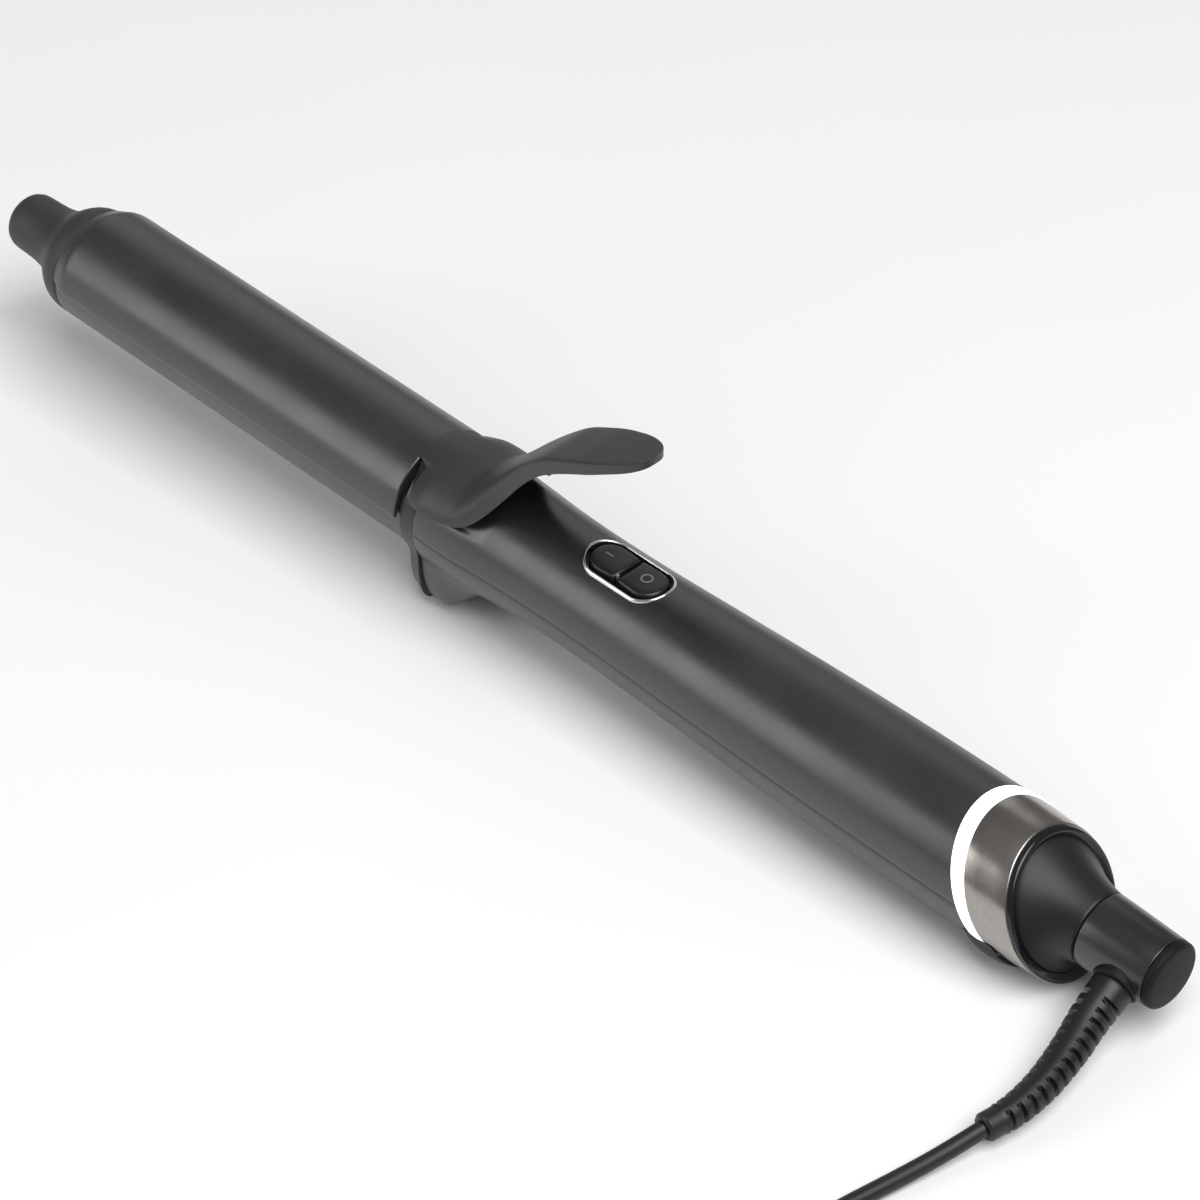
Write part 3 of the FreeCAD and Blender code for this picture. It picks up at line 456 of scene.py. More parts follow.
LIP_REACH = 3.5         # how far the lip runs forward between the ends of the slot
SLOT_SETBACK = -0.35    # and how far back the hood's front stands beside it


def arch(half_width, height, squareness, count):
    """(y, height) points over an arch, from one foot to the other."""
    points = []
    for k in range(count + 1):
        a = math.pi * k / count
        c, s = math.cos(a), math.sin(a)
        y = -half_width * math.copysign(abs(c) ** (2 / squareness), c)
        points.append((y, height * abs(s) ** (2 / squareness)))
    return points


def lip_forward(x, y, z):
    """How far forward of its station a point on the hood's front lies."""
    if x >= LIP_REAR:
        return 0.0
    angle = abs(math.degrees(math.atan2(y, z)))
    reach = mix(LIP_REACH, SLOT_SETBACK, ease(24.0, 28.0, angle))
    return reach * (LIP_REAR - x) / (LIP_REAR - LEVER_FRONT)


def lever():
    stations = steps(LEVER_FRONT, LIP_REAR, 8) + steps(13.8, 57, 54)
    stations += [57 + (PADDLE_END - 57) * math.sin(a) for a in steps(0.1, 1.52, 22)] + [PADDLE_END - 0.002]
    rings = []
    count = 56
    for x in stations:
        low, half, top, square = through(LEVER_ROWS, x)
        if x > PADDLE_WIDEST:
            reach = (x - PADDLE_WIDEST) / (PADDLE_END - PADDLE_WIDEST)
            shrink = max(0.0, 1 - reach ** PADDLE_FULLNESS) ** (1 / PADDLE_FULLNESS)
            half = max(0.25, half * shrink)
            low += 0.3 * (1 - shrink) ** 2
        side_wall = mix(2.3, 1.0, ease(12, 24, x))
        roof = mix(1.1, 2.4, ease(9, 15, x))
        hollow = 1 - ease(52, 58, x)
        outside = arch(half, top - low, square, count)
        inner_height = max(0.0, top - low - roof) * hollow
        inside = arch(max(0.2, half - side_wall), inner_height, max(1.7, square), count)
        ring = []
        for y, z in outside:
            crown = 0.2 * (1 - (y / half) ** 2) * ease(28, 36, x) * (1 - ease(54, 64, x))
            ring.append((x - lip_forward(x, y, low + z), y, low + z + crown))
        for y, z in reversed(inside):
            ring.append((x - lip_forward(x, y, low + z), y, low + z))
        rings.append(ring)
    obj = piece("lever_shell", *loft(rings), "clamp", LEVER_SKIN, ["lever"], "lever_plastic", sharp=42)
    soften(obj, 0.3, 42)


# ---------------------------------------------------------------- neck and handle
# x, radius
HANDLE_ROWS = [(9.6, 13.9), (12, 14.15), (16, 14.3), (20, 14.28), (24, 14.1), (34, 13.45),
               (42, 13.15), (50, 13.05), (66, 13.25), (86, 13.9), (110, 14.65), (136, 15.1),
               (162, 15.2), (190, 15.2)]
REAR_SLOPE = 0.475
RING_X = 167.7
HANDLE_FRONT = 9.6
SEAM = 0.045         # half the gap between the two shells
SEAM_BEVEL = 0.4     # height of the rounded edge beside it
STAND_REAR = 30.0
HOOD_SEAT_R = 13.7   # the handle is slimmer under the hood


def soft_max(a, b, blur):
    """The larger of two, with a rounded change-over."""
    h = max(blur - abs(a - b), 0.0) / blur
    return max(a, b) + h * h * blur * 0.25


def u_radius(angle, half_width, depth, squareness):
    """Distance to a U-shaped outline; angle is measured from straight down."""
    across = abs(math.sin(angle)) / half_width
    down = abs(math.cos(angle)) / depth
    return (across ** squareness + down ** squareness) ** (-1 / squareness)


# x, depth of the stand's sole below the axis, its half width
STAND_ROWS = [(9.6, 22.2, 11.75), (12.5, 22.3, 11.8), (14.2, 22.2, 11.8), (15.5, 21.6, 11.8),
              (17, 20.3, 11.8), (18.5, 18.8, 11.8), (20, 17.2, 11.8), (22, 15.2, 11.75),
              (24, 13.3, 11.7), (26, 11.5, 11.6), (28, 9.6, 11.4)]
STAND_SQUARENESS = 4.2


def handle_outline(x, angle):
    """The handle's outer radius; angle from the top, 180 degrees is straight down."""
    radius = through(HANDLE_ROWS, x)[0]
    if x < STAND_REAR and angle > math.pi / 2:
        depth, half = through(STAND_ROWS, x)
        stand = u_radius(math.pi - angle, half, depth, STAND_SQUARENESS)
        radius = soft_max(radius, stand, 1.2)
    if x < STAND_REAR and angle < math.pi / 2:
        height = radius * math.cos(angle)
        under_hood = ease(7.2, 7.9, height) * (1 - ease(28.0, 29.5, x))
        radius = mix(radius, HOOD_SEAT_R, under_hood)
    return radius


def shell(side):
    """One half of the handle. side is 1 for the upper half and -1 for the lower one."""
    stations = [HANDLE_FRONT, 9.68, 9.85, 10.2, 10.8] + steps(11.6, 30, 26) + steps(31, 49, 14)
    stations += steps(50, 74, 40) + steps(76, 164, 48) + steps(165, RING_X, 5)
    count = 80
    rings = []
    for s in stations:
        slope = REAR_SLOPE * ease(100, RING_X, s)
        end = min(s - HANDLE_FRONT, RING_X - s)
        tuck = 0.3 * (1 - ease(0, 0.35, end)) if s < 100 else 0.0
        outer, inner = [], []
        for k in range(count + 1):
            angle = math.pi * k / count - math.pi / 2
            from_top = abs(angle) if side > 0 else math.pi - abs(angle)
            z_unit = math.cos(angle) * side
            y_unit = math.sin(angle)
            radius = handle_outline(s, from_top) - tuck
            at_seam = max(0.0, 1 - abs(z_unit) * radius / SEAM_BEVEL)
            radius -= (0.1 if side > 0 else 0.34) * at_seam
            z = z_unit * radius
            z = side * max(abs(z), SEAM)
            outer.append((s - slope * z, y_unit * radius, z))
            wall = min(radius - 1.7, 12.2)
            z_in = side * max(abs(z_unit * wall), SEAM)
            inner.append((s - slope * z_in, y_unit * wall, z_in))
        rings.append(outer + inner[::-1])
    name = "handle_shell_upper" if side > 0 else "handle_shell_lower"
    node = "handle_upper" if side > 0 else "handle_lower"
    return piece(name, *loft(rings), "handle", HANDLE_SKIN, [node], "body_plastic", sharp=45)


COLLAR_FRONT = 5.0
COLLAR_R = 13.5
COLLAR_BORE_R = 13.05
SLOT_SHADE_END = math.radians(61)   # the guard is glossier and painted darker where the slot behind the blade shows it: painted shade in the slot


def front_collar():
    count = 120
    rings = []
    turns = [2 * math.pi * k / count for k in range(count)]
    # x, and how far the rounded edge lies inside the outline there
    edges = [(COLLAR_FRONT, 0.5), (5.02, 0.2), (5.2, 0.04), (5.5, 0.0), (6.6, 0.0), (7.8, 0.0),
             (8.8, 0.0), (9.3, 0.0), (9.5, 0.06), (9.58, 0.3)]
    for x, tuck in edges:
        share = (x - COLLAR_FRONT) / 4.6
        half = mix(10.6, 12.4, share)
        depth = mix(21.6, 22.3, share)
        ring = []
        for a in turns:
            from_down = abs(math.pi - a)
            radius = COLLAR_R
            if from_down < math.pi / 2:
                radius = soft_max(COLLAR_R, u_radius(from_down, half, depth, 5.0), 1.4)
            radius -= tuck
            ring.append((x, radius * math.sin(a), radius * math.cos(a)))
        rings.append(ring)
    for x in (edges[-1][0], COLLAR_FRONT):
        rings.append([(x, COLLAR_BORE_R * math.sin(a), COLLAR_BORE_R * math.cos(a)) for a in turns])
    rings.append(rings[0])
    guard = piece("neck_guard", *loft(rings, caps=False), "handle", GUARD_SKIN, ["front_collar"],
                  "gloss_black", sharp=45)
    # Faces nearer the top than the slot's end get the darker gloss black: painted shade in the slot behind
    # the blade, as well as a higher gloss.
    guard.data.materials.append(GLOSS_BLACK)
    to_local = LAY_DOWN.inverted()
    for face in guard.data.polygons:
        centre = to_local @ face.center
        face.material_index = int(abs(math.atan2(centre.y, centre.z)) < SLOT_SHADE_END)


# ---------------------------------------------------------------- button cluster
SWITCH_X = 61.9
SWITCH_HALF_LENGTH = 11.5
SWITCH_HALF_WIDTH = 6.0


def racetrack(half_length, half_width, count):
    """Points round a flat outline with round ends, about the button cluster's middle."""
    straight = half_length - half_width
    points = []
    for k in range(count):
        a = 2 * math.pi * (k + 0.5) / count
        x = half_width * math.cos(a) + math.copysign(straight, math.cos(a))
        points.append((SWITCH_X + x, half_width * math.sin(a)))
    return points


def switch_hole():
    """The hole's solid, to be cut out of the upper shell."""
    slack = 0.04
    outline = racetrack(SWITCH_HALF_LENGTH + slack, SWITCH_HALF_WIDTH + slack, 96)
    low = [(x, y, 7.0) for x, y in outline]
    high = [(x, y, 18.0) for x, y, _ in low]
    return piece("switch_cutter", *loft([low, high]), None, GLOSS_BLACK)


def dome(y, radius):
    """Height, at y, of a cylinder of this radius about the axis."""
    return math.sqrt(radius * radius - y * y)


def switch_ring():
    """The chrome ring: a rounded bead that follows the handle's roundness."""
    # distance inside the cluster's outline, height from the bead's top
    section = [(0.02, -2.2), (0.02, -0.42), (0.1, -0.2), (0.24, -0.04), (0.38, 0.0),
               (0.52, -0.04), (0.66, -0.2), (0.74, -0.42), (0.74, -2.2)]
    rings = []
    for inset, drop in section:
        ring = []
        for x, y in racetrack(SWITCH_HALF_LENGTH - inset, SWITCH_HALF_WIDTH - inset, 128):
            ring.append((x, y, dome(y, 13.72) + drop))
        rings.append(ring)
    rings.append(rings[0])
    piece("switch_ring", *loft(rings, caps=False), "handle", CHROME, ["switch_bezel"],
          "chrome_trim", sharp=60)


KEY_CROWN = 0.018   # fall of a key's top per square of the distance from its middle line


def key(side):
    """One key: its inner end follows the curved groove, its top is dished and its rim rounded.

    side is -1 for the front key and 1 for the rear one.
    """
    name = "key_temperature" if side < 0 else "key_power"
    node = "button_temperature" if side < 0 else "button_power"
    body = "temperature_key" if side < 0 else "power_key"
    rings = []
    half_length = SWITCH_HALF_LENGTH - 1.65
    half_width = SWITCH_HALF_WIDTH - 1.6
    straight = half_length - half_width
    # distance inside the key's outline, height
    levels = [(0.0, 9.6), (0.0, 12.2), (0.0, 12.75), (0.07, 13.05), (0.22, 13.28), (0.5, 13.42),
              (1.0, 13.46), (1.9, 13.44), (2.8, 13.40), (3.6, 13.38)]
    bend = 0.55 if side < 0 else -0.55 * 0.75   # of the groove, towards the rear
    count = 72
    for inset, z in levels:
        ring = []
        reach_x = half_length - inset
        reach_y = max(0.05, half_width - inset)
        for k in range(count):
            a = 2 * math.pi * k / count
            c, s = math.cos(a), math.sin(a)
            if c >= 0:
                x = straight + reach_y * c
                y = reach_y * s
                x = min(x, reach_x)
            else:
                y = reach_y * s
                groove = 0.42 + bend * (y / half_width) ** 2 + inset
                share = min(1.0, abs(c) * 2.2)
                x = mix(straight, groove, ease(0, 1, share))
            ring.append((SWITCH_X + side * x, y, z - KEY_CROWN * y * y * ease(12, 13, z)))
        rings.append(ring)
    piece(name, *loft(rings), body, KEY_SKIN, [node], "button_plastic", sharp=50)


def key_marks():
    """A dash on the front key and a plain ring on the rear one."""
    def key_top(y):
        return 13.47 - KEY_CROWN * y * y

    dash = []
    dash_y = 0.3
    low, high = key_top(0) - 0.05, key_top(0) + 0.03
    for x, half in ((54.6, 0.05), (54.75, 0.22), (56.85, 0.22), (57.0, 0.05)):
        dash.append([(x, dash_y - half, low), (x, dash_y - half, high),
                     (x, dash_y + half, high), (x, dash_y + half, low)])
    piece("mark_dash", *loft(dash), "temperature_key", MARK_PAINT, slot="button_plastic")
    rings = []
    for radius, lift in ((1.45, -0.05), (1.42, 0.04), (1.02, 0.04), (0.98, -0.05)):
        ring = []
        for k in range(48):
            a = 2 * math.pi * k / 48
            x, y = 66.7 + radius * math.cos(a), 0.4 + radius * math.sin(a)
            ring.append((x, y, key_top(y) + lift))
        rings.append(ring)
    rings.append(rings[0])
    piece("mark_ring", *loft(rings, caps=False), "power_key", MARK_PAINT, slot="button_plastic")


def status_lamp():
    """The light pipe, a thin rod whose domed end shows in the groove between the keys."""
    lamp_x, lamp_y = 61.3, -2.9
    profile = [(0.0, 13.34), (0.25, 13.32), (0.4, 13.22), (0.42, 12.4), (0.3, 12.2), (0.3, 6.0),
               (0.0, 6.0)]
    turns = [2 * math.pi * k / 24 for k in range(24)]
    rings = []
    for radius, z in profile:
        rings.append([(lamp_x + radius * math.cos(a), lamp_y + radius * math.sin(a), z) for a in turns])
    piece("status_lamp", *loft(rings, caps=False), "handle", LAMP_LENS, ["indicator_pipe"],
          "light_diffuser")


# ---------------------------------------------------------------- rear end
def rear_band(name, node, x0, x1, r0, r1, wall, edge, material, slot, crown=0.0):
    """A slanted band of the handle's rear, from x0 to x1 along the axis."""
    front, rear = x0 + 0.01, x1 - 0.01
    middle = (mix(x0, x1, 0.5), mix(r0, r1, 0.5) + crown)
    corners = [(front, r0 - wall), (front, r0), middle, (rear, r1), (rear, r1 - wall),
               (front, r0 - wall)]
    profile = rounded(corners, [0, edge, 2.0, edge, 0.1, 0])
    piece(name, *turned(profile[:-1], 160, REAR_SLOPE, closed=True), "handle", material, [node],
          slot, sharp=50)


BAND_X = RING_X + 3.3
RIM_X = BAND_X + 10.6
CONE_END = 191.7
CONE_BORE_R = 5.05


def rear_end():
    rear_band("glow_ring", "light_ring", RING_X, BAND_X, 15.3, 15.3, 1.4, 0.25, GLOW,
              "light_diffuser", 0.08)
    rear_band("brushed_band", "metal_band", BAND_X, RIM_X, 15.2, 14.72, 1.2, 0.3, BAND_METAL,
              "brushed_band")
    rim_r = 14.55
    front = RIM_X + 0.02
    rim = rounded([(front, 12.7), (front, rim_r), (RIM_X + 1.1, rim_r - 0.15),
                   (RIM_X + 1.35, rim_r - 0.7), (RIM_X + 1.0, rim_r - 1.3), (RIM_X + 0.6, 12.6),
                   (front, 12.7)],
                  [0, 0.15, 0.5, 0.4, 0.4, 0.2, 0])
    piece("rear_rim_ring", *turned(rim[:-1], 160, REAR_SLOPE, closed=True), "handle", GLOSS_BLACK,
          ["rear_rim"], "gloss_black", sharp=60)
    end_cone()


def end_cone():
    """The hollow-sided end piece: its rings stand upright towards the swivel."""
    # x from the rim, radius, slope of the ring there
    flank = [(0.2, 12.75, REAR_SLOPE), (0.9, 12.5, 0.46), (1.7, 11.9, 0.43), (2.6, 11.2, 0.39),
             (3.6, 10.5, 0.34), (4.8, 9.8, 0.27), (6.2, 9.15, 0.18), (7.8, 8.6, 0.09),
             (9.2, 8.25, 0.02)]
    rows = [(RIM_X + x, radius, slope) for x, radius, slope in flank]
    rows += [(191.45, 8.1, 0.0), (CONE_END, 7.8, 0.0)]
    outer = [(x, *through(rows, x)) for x in steps(rows[0][0], rows[-1][0], 36)]
    inner = [(CONE_END, CONE_BORE_R, 0.0), (RIM_X + 3.4, CONE_BORE_R, 0.2), (RIM_X + 3.0, 8.6, 0.3),
             (RIM_X - 2, 9.0, REAR_SLOPE), (RIM_X - 2, 12.75, REAR_SLOPE)]
    rings = []
    for x, radius, slope in outer + inner:
        ring = []
        for k in range(144):
            a = 2 * math.pi * k / 144
            z = radius * math.cos(a)
            ring.append((x - slope * z, radius * math.sin(a), z))
        rings.append(ring)
    rings.append(rings[0])
    piece("end_cone_shell", *loft(rings, caps=False), "handle", CONE_SKIN, ["end_cone"],
          "body_plastic", sharp=45)


def rear_foot():
    """The soft crescent under the rear rings, flat where it meets the surface."""
    rings = []
    count = 40
    seat_r = 15.3
    low_side = math.radians(66)
    for t in steps(0, 1, 14):
        x = mix(165.8, 173.4, t)
        swell = math.sin(math.pi * mix(0.06, 0.94, t)) ** 0.5
        outer_ring, inner_ring = [], []
        for k in range(count + 1):
            a = mix(-low_side, low_side, k / count)
            thick = 1.25 * swell * (1 - ease(math.radians(54), low_side, abs(a)))
            for radius, ring in ((seat_r + max(0.03, thick), outer_ring), (seat_r - 0.04, inner_ring)):
                z = -radius * math.cos(a)
                ring.append((x - REAR_SLOPE * z, radius * math.sin(a), z))
        rings.append(outer_ring + inner_ring[::-1])
    verts, faces = loft(rings)
    flat = []
    for v in verts:
        world = LAY_DOWN @ Vector(v)
        world.z = max(world.z, 0.0)
        flat.append(tuple(world))
    piece("rear_foot_pad", flat, faces, "handle", SOFT_BLACK, ["rear_foot"], "soft_black", IN_PLACE, 50)


STAND_PAD_X = 12.0


def stand_foot():
    """The soft pad under the stand, rounded where it meets the sole."""
    rings = []
    for inset, z in ((0.0, -21.9), (0.0, -22.9), (0.12, -23.3), (0.4, -23.55)):
        ring = []
        for k in range(40):
            a = 2 * math.pi * k / 40
            c, s = math.cos(a), math.sin(a)
            x = STAND_PAD_X + (1.75 - inset) * math.copysign(abs(c) ** 0.45, c)
            y = (4.55 - inset) * math.copysign(abs(s) ** 0.45, s)
            ring.append(tuple(LAY_DOWN @ Vector((x, y, z))))
        rings.append(ring)
    rings.append([(x, y, 0.0) for x, y, _ in rings[-1]])
    piece("stand_pad_skin", *loft(rings), "handle", SOFT_BLACK, ["stand_pad"], "soft_black", IN_PLACE, 50)


# ---------------------------------------------------------------- swivel
def swivel():
    body = rounded([(181.0, 0.0), (181.0, 4.9), (191.95, 4.9), (191.95, 8.15), (200, 7.9),
                    (208.3, 7.55), (208.3, 0.0)],
                   [0, 0.2, 0.1, 0.35, 3, 0.25, 0])
    piece("swivel_shell", *turned(body), "cord_swivel", SWIVEL_SKIN, ["swivel_body"],
          "lever_plastic", sharp=50)
    cap = rounded([(208.45, 0.0), (208.45, 7.5), (209.9, 7.42), (210.45, 6.6), (210.75, 3.0),
                   (210.8, 0.0)],
                  [0, 0.15, 0.7, 1.2, 2.0, 0])
    piece("swivel_cap_shell", *turned(cap), "cord_swivel", CAP_SKIN, ["swivel_cap"],
          "lever_plastic", sharp=50)
    relief_mouth()


def relief_mouth():
    """The raised mouth that the strain relief comes out of."""
    start = Vector((201.5, 0, 0))
    (first, _), (second, _) = relief_line()[:2]
    heading = (LAY_DOWN.inverted().to_3x3() @ (Vector(second) - Vector(first))).normalized()
    across = heading.cross(Vector((1, 0, 0))).normalized()
    upward = heading.cross(across).normalized()
    collar = []
    for reach, radius in ((5.2, 4.9), (7.55, 5.15), (7.95, 5.1), (8.15, 4.85), (8.15, 4.4), (5.2, 4.4)):
        centre = start + heading * reach
        ring = []
        for k in range(64):
            a = 2 * math.pi * k / 64
            point = centre + across * (radius * math.cos(a)) + upward * (radius * math.sin(a))
            ring.append(tuple(point))
        collar.append(ring)
    collar.append(collar[0])
    piece("relief_mouth", *loft(collar, caps=False), "cord_swivel", CAP_SKIN, slot="lever_plastic",
          sharp=50)


# ---------------------------------------------------------------- cord, in the resting frame
CORD_D = 3.6
RELIEF_POINTS = [(166.2, -5.35, 12.5), (166.8, -14.6, 8.8), (168.4, -22.4, 6.9), (169.9, -31.8, 5.6),
                 (170.0, -40.1, 4.8), (168.7, -47.7, 4.4)]


def relief_line(count=400):
    """Points and headings along the strain relief's middle, in metres."""
    rows = []
    travelled = 0.0
    for i, p in enumerate(RELIEF_POINTS):
        if i:
            travelled += (Vector(p) - Vector(RELIEF_POINTS[i - 1])).length
        rows.append((travelled, *p))
    places = [Vector(through(rows, s)) * MM for s in steps(0, travelled, count)]
    found = []
    for i, p in enumerate(places):
        heading = places[min(i + 1, count)] - places[max(i - 1, 0)]
        found.append((tuple(p), heading.normalized()))
    return found


def strain_relief():
    """Ribs down both sides with slots between them, then a plain collar at the cord's end."""
    line = relief_line()
    total = len(line) - 1
    ribs = 13
    rib_from, rib_to = 0.10, 0.90
    rings = []
    count = 48
    for i, (place, heading) in enumerate(line):
        s = i / total
        across = heading.cross(Vector((0, 0, 1))).normalized()
        upward = across.cross(heading).normalized()
        base = mix(4.55, 3.05, s)
        phase = (s - rib_from) / (rib_to - rib_from) * ribs
        groove = 0.0
        if 0 < phase < ribs:
            wave = phase % 1.0
            groove = ease(0.52, 0.66, wave) * (1 - ease(0.86, 1.0, wave))
        if s > rib_to:
            base = mix(base, 3.0, ease(rib_to, rib_to + 0.02, s))
        base -= 0.5 * ease(0.985, 1.0, s)
        ring = []
        for k in range(count):
            a = 2 * math.pi * k / count
            spine = abs(math.sin(a))
            depth = 1.05 * groove * (1 - ease(0.80, 0.93, spine))
            radius = (base - depth) * MM
            offset = across * (radius * math.cos(a)) + upward * (radius * math.sin(a))
            ring.append(tuple(Vector(place) + offset))
        rings.append(ring)
    piece("relief_ribbed", *loft(rings), "cord_swivel", CORD_SKIN, ["strain_relief"], "cord_skin",
          IN_PLACE, 40)


COIL_X, COIL_Y = 192.0, -116.0
COIL_INNER = 14.4
COIL_RINGS = 5
COIL_LAYERS = 4
COIL_OUTER = COIL_INNER + (COIL_RINGS - 1) * CORD_D
COIL_LOW = 2.5
PER_TURN = 16        # points in one turn
CLIMB = 5            # points over which the cord climbs to the next layer
CORD_START = RELIEF_POINTS[-1]
TAIL_X = 225.05
TAIL_Z = 6.65


def on_coil(places, first):
    """Points for (distance from the coil's middle, height) places, a sixteenth of a turn apart."""
    points = []
    for k, (radius, height) in enumerate(places, first):
        a = math.pi + 2 * math.pi * k / PER_TURN
        points.append((COIL_X + radius * math.cos(a), COIL_Y + radius * math.sin(a), height))
    return points


def coil_points():
    """The winding: flat spirals in and out, one on another."""
    winding = []
    inward = PER_TURN * COIL_RINGS
    for k in range(1, inward + 1):
        settle = 0.65 * max(0.0, 1 - k / 8)
        spiral = mix(COIL_OUTER, COIL_INNER, max(0.0, (k - 4) / (inward - 4)))
        winding.append((spiral + CORD_D * (1 - ease(0, 4, k)), COIL_LOW - settle))
    for layer in range(1, COIL_LAYERS):
        # odd layers go out from the middle and even ones come back in
        start, end = (COIL_INNER, COIL_OUTER) if layer % 2 else (COIL_OUTER, COIL_INNER)
        below = COIL_LOW + (layer - 1) * CORD_D
        height = below + CORD_D
        winding += [(start, below + CORD_D * k / CLIMB) for k in range(1, CLIMB + 1)]
        winding += [(start, height)] * CLIMB
        crossing = PER_TURN * (COIL_RINGS - 1)
        step = math.copysign(CORD_D / PER_TURN, end - start)
        winding += [(start + step * k, height) for k in range(1, crossing + 1)]
        if layer < COIL_LAYERS - 1:
            winding += [(end, height)] * CLIMB
    winding += [(end, height)] * (PER_TURN // 2 - 1)
    # the last half turn comes off the winding's outside and down to the plug's height; it
    # starts one place late, and the spline rounds over the gap
    way_off = [(end + CORD_D * ease(4, 6.5, k), mix(height, TAIL_Z, ease(5.2, 8, k)))
               for k in range(1, PER_TURN // 2 + 1)]
    return on_coil(winding, 1) + on_coil(way_off, len(winding) + 2)


def cord():
    """The cord as a curve, and its length in metres."""
    route = [CORD_START, (166.9, -55.7, 3.0), (164.2, -67.0, 2.05), (161.0, -81.0, 1.85),
             (159.3, -98.0, 1.85), (COIL_X - COIL_OUTER - CORD_D, COIL_Y, 1.85)]
    route += coil_points()
    route += [(TAIL_X, COIL_Y + y, TAIL_Z) for y in (8, 13, 17)]
    curve = bpy.data.curves.new("flex", "CURVE")
    curve.dimensions = "3D"
    spline = curve.splines.new("NURBS")
    spline.points.add(len(route) - 1)
    for point, (x, y, z) in zip(spline.points, route):
        point.co = (x * MM, y * MM, z * MM, 1)
    spline.order_u = 3
    spline.use_endpoint_u = True
    spline.resolution_u = 4
    obj = bpy.data.objects.new("flex", curve)
    bpy.context.scene.collection.objects.link(obj)
    plain = bpy.data.meshes.new_from_object(obj)
    places = [v.co for v in plain.vertices]
    length = sum((a - b).length for a, b in zip(places, places[1:]))
    bpy.data.meshes.remove(plain)
    curve.bevel_depth = CORD_D / 2 * MM
    curve.bevel_resolution = 5
    curve.materials.append(CORD_SKIN)
    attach(obj, "cord_swivel")
    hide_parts("cord_tube", "cord_coil", "cord_tail")
    return obj, length


def cord_tie():
    """The strap round the coil's turns."""
    rings = []
    y_in, y_out = COIL_Y + 12.25, COIL_Y + 30.95
    z_low, z_high = 0.35, 15.45
    outline = rounded([(y_in, 8.0), (y_in, z_low), (y_out, z_low), (y_out, z_high),
                       (y_in, z_high), (y_in, 8.0)],
                      [0, 1.2, 1.2, 1.2, 1.2, 0])[:-1]
    middle = Vector(((y_in + y_out) / 2, (z_low + z_high) / 2))
    for x, thick in ((189.0, 0.1), (189.15, 0.27), (194.85, 0.27), (195.0, 0.1)):
        for sign in (1, -1):
            ring = []
            for y, z in outline:
                away = (Vector((y, z)) - middle).normalized() * thick * sign
                ring.append((x, y + away.x, z + away.y))
            rings.append(ring)
    outer, inner = rings[0::2], rings[1::2]
    section = outer + inner[::-1] + [outer[0]]
    piece("tie_strap", *loft(section, caps=False), "cord_swivel", STRAP, ["cord_tie"], "tie", RESTING, 50)


PLUG_Y = -100.0


def plug():
    """A slim two-pin plug: a moulded body with a waist and a ribbed neck."""
    # distance from the cord's end, half width, half height, squareness
    rows = [(0.0, 2.5, 2.4, 2.0), (0.4, 3.0, 2.9, 2.0), (5, 3.6, 3.4, 2.0), (10, 5.0, 4.4, 2.2),
            (14, 8.2, 5.4, 2.6), (19, 13.6, 6.2, 3.6), (24, 16.3, 6.45, 4.6), (29, 16.6, 6.5, 5.0),
            (33.0, 16.5, 6.4, 5.0), (33.8, 16.0, 6.0, 5.0), (34.0, 15.4, 5.6, 5.0)]
    rings = []
    for s in steps(0, 8, 48) + steps(8.3, 33, 40) + [33.4, 33.7, 33.9, 34.0]:
        wide, high, square = through(rows, s)
        if 1.0 < s < 8.0:
            rib = 0.28 * (0.5 - 0.5 * math.cos(2 * math.pi * (s - 1.0) / 1.4))
            wide -= rib
            high -= rib
        ring = []
        for k in range(64):
            a = 2 * math.pi * k / 64
            c, si = math.cos(a), math.sin(a)
            x = TAIL_X + wide * math.copysign(abs(c) ** (2 / square), c)
            z = TAIL_Z + high * math.copysign(abs(si) ** (2 / square), si)
            ring.append((x, PLUG_Y + s, z))
        rings.append(ring)
    piece("plug_shell", *loft(rings), "cord_swivel", GLOSS_BLACK, ["plug_body"], "gloss_black",
          RESTING, 50)


# ---------------------------------------------------------------- inner pieces keep their CAD shape
CAD_FINISHES = [
    (STEEL, ("thermal_fuse", "rivet_left", "rivet_right", "hinge_pin", "torsion_spring", "case_screw_1",
             "case_screw_2")),
    (ALUMINIUM, ("heat_spreader_upper", "heat_spreader_lower")),
    (CERAMIC, ("heater_plate", "thermistor")),
    (SLEEVE, ("lead_live", "lead_neutral")),
    (INNER_PLASTIC, ("barrel_carrier", "tact_switch_front", "tact_switch_rear", "mains_filter", "capacitor",
                     "swivel_retainer")),
    (BOARD_GREEN, ("circuit_board",)),
    (BRASS, ("contact_ring_1", "contact_ring_2", "contact_brush_1", "contact_brush_2", "plug_pin_1",
             "plug_pin_2")),
    (GLOSS_BLACK, ("switch_tray",)),
]


def finish_cad_nodes():
    for material, names in CAD_FINISHES:
        for name in names:
            obj = frame["nodes"][name]
            obj.data.materials.clear()
            obj.data.materials.append(material)


# ---------------------------------------------------------------- stage
def camera():
    data = bpy.data.cameras.new("camera")
    data.lens = 136.31
    data.sensor_width = 36
    data.clip_end = 20
    obj = bpy.data.objects.new("camera", data)
    bpy.context.scene.collection.objects.link(obj)
    obj.location = Vector((560.05, -509.71, 631.51)) * MM
    obj.rotation_euler = [math.radians(turn) for turn in (50.6171, 1.8263, 45.2644)]
    bpy.context.scene.camera = obj


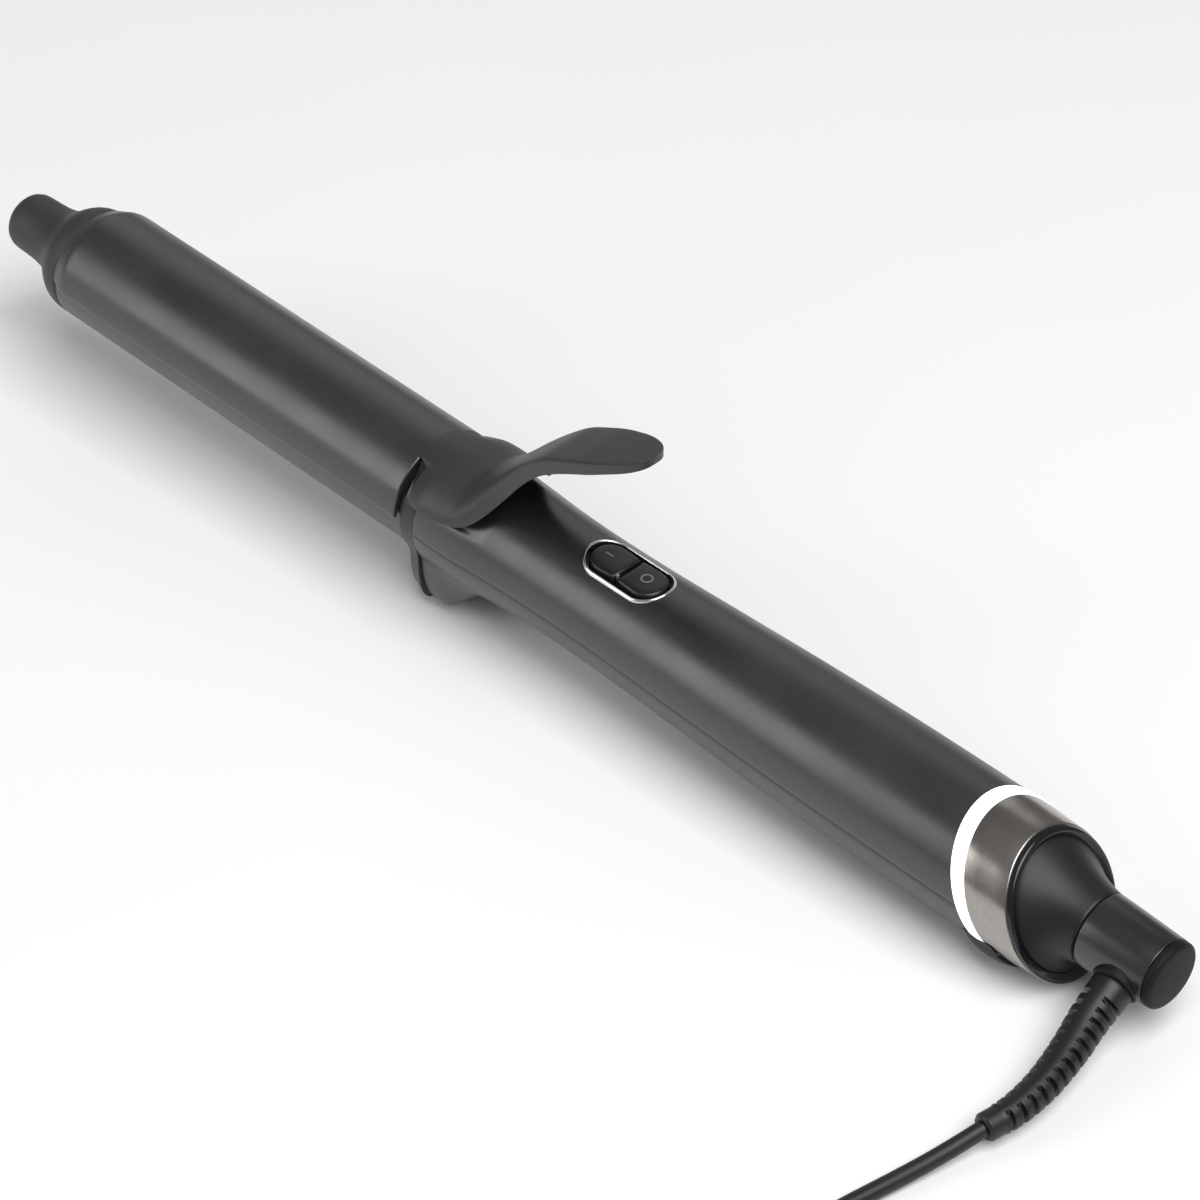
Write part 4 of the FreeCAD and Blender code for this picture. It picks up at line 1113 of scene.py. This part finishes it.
def floor():
    mesh = bpy.data.meshes.new("floor")
    size = 3.0
    corners = [(-size, -size, 0), (size, -size, 0), (size, size, 0), (-size, size, 0)]
    mesh.from_pydata(corners, [], [(0, 1, 2, 3)])
    material, tree, shader = new_material("pale_floor")
    cloud = grain(tree, 6, 2.0)
    link(tree, ramp(tree, cloud, 0.3, 0.7, (0.90, 0.90, 0.90), (0.92, 0.92, 0.92)),
         shader.inputs["Base Color"])
    shader.inputs["Roughness"].default_value = 0.9
    shader.inputs["Specular IOR Level"].default_value = 0.1
    mesh.materials.append(material)
    obj = bpy.data.objects.new("floor", mesh)
    bpy.context.scene.collection.objects.link(obj)


def area_light(name, place, size_x, size_y, power):
    """A softbox at place, in metres, that faces the origin."""
    data = bpy.data.lights.new(name, "AREA")
    data.energy = power
    data.shape = "RECTANGLE"
    data.size = size_x
    data.size_y = size_y
    obj = bpy.data.objects.new(name, data)
    bpy.context.scene.collection.objects.link(obj)
    obj.location = place
    obj.rotation_mode = "QUATERNION"
    obj.rotation_quaternion = (-Vector(place)).to_track_quat("-Z", "Y")


def lights():
    scene = bpy.context.scene
    scene.view_settings.view_transform = "Standard"
    world = bpy.data.worlds.new("studio")
    scene.world = world
    world.use_nodes = True
    background = world.node_tree.nodes["Background"]
    background.inputs["Color"].default_value = (1, 1, 1, 1)
    background.inputs["Strength"].default_value = 0.22
    area_light("near_softbox", (-0.72, -0.95, 0.58), 0.6, 0.85, 4.2)
    area_light("far_softbox", (-0.80, 0.85, 0.72), 1.0, 0.8, 1.3)
    area_light("overhead", (0.75, -0.15, 1.30), 1.2, 1.2, 23)


# ---------------------------------------------------------------- build
camera()
lights()
floor()
cool_tip()
barrel()
blade()
lever()
upper_shell = shell(1)
cut_away(upper_shell, switch_hole())
shell(-1)
front_collar()
switch_ring()
key(-1)
key(1)
key_marks()
status_lamp()
rear_end()
rear_foot()
stand_foot()
swivel()
strain_relief()
flex, flex_length = cord()
cord_tie()
plug()
finish_cad_nodes()
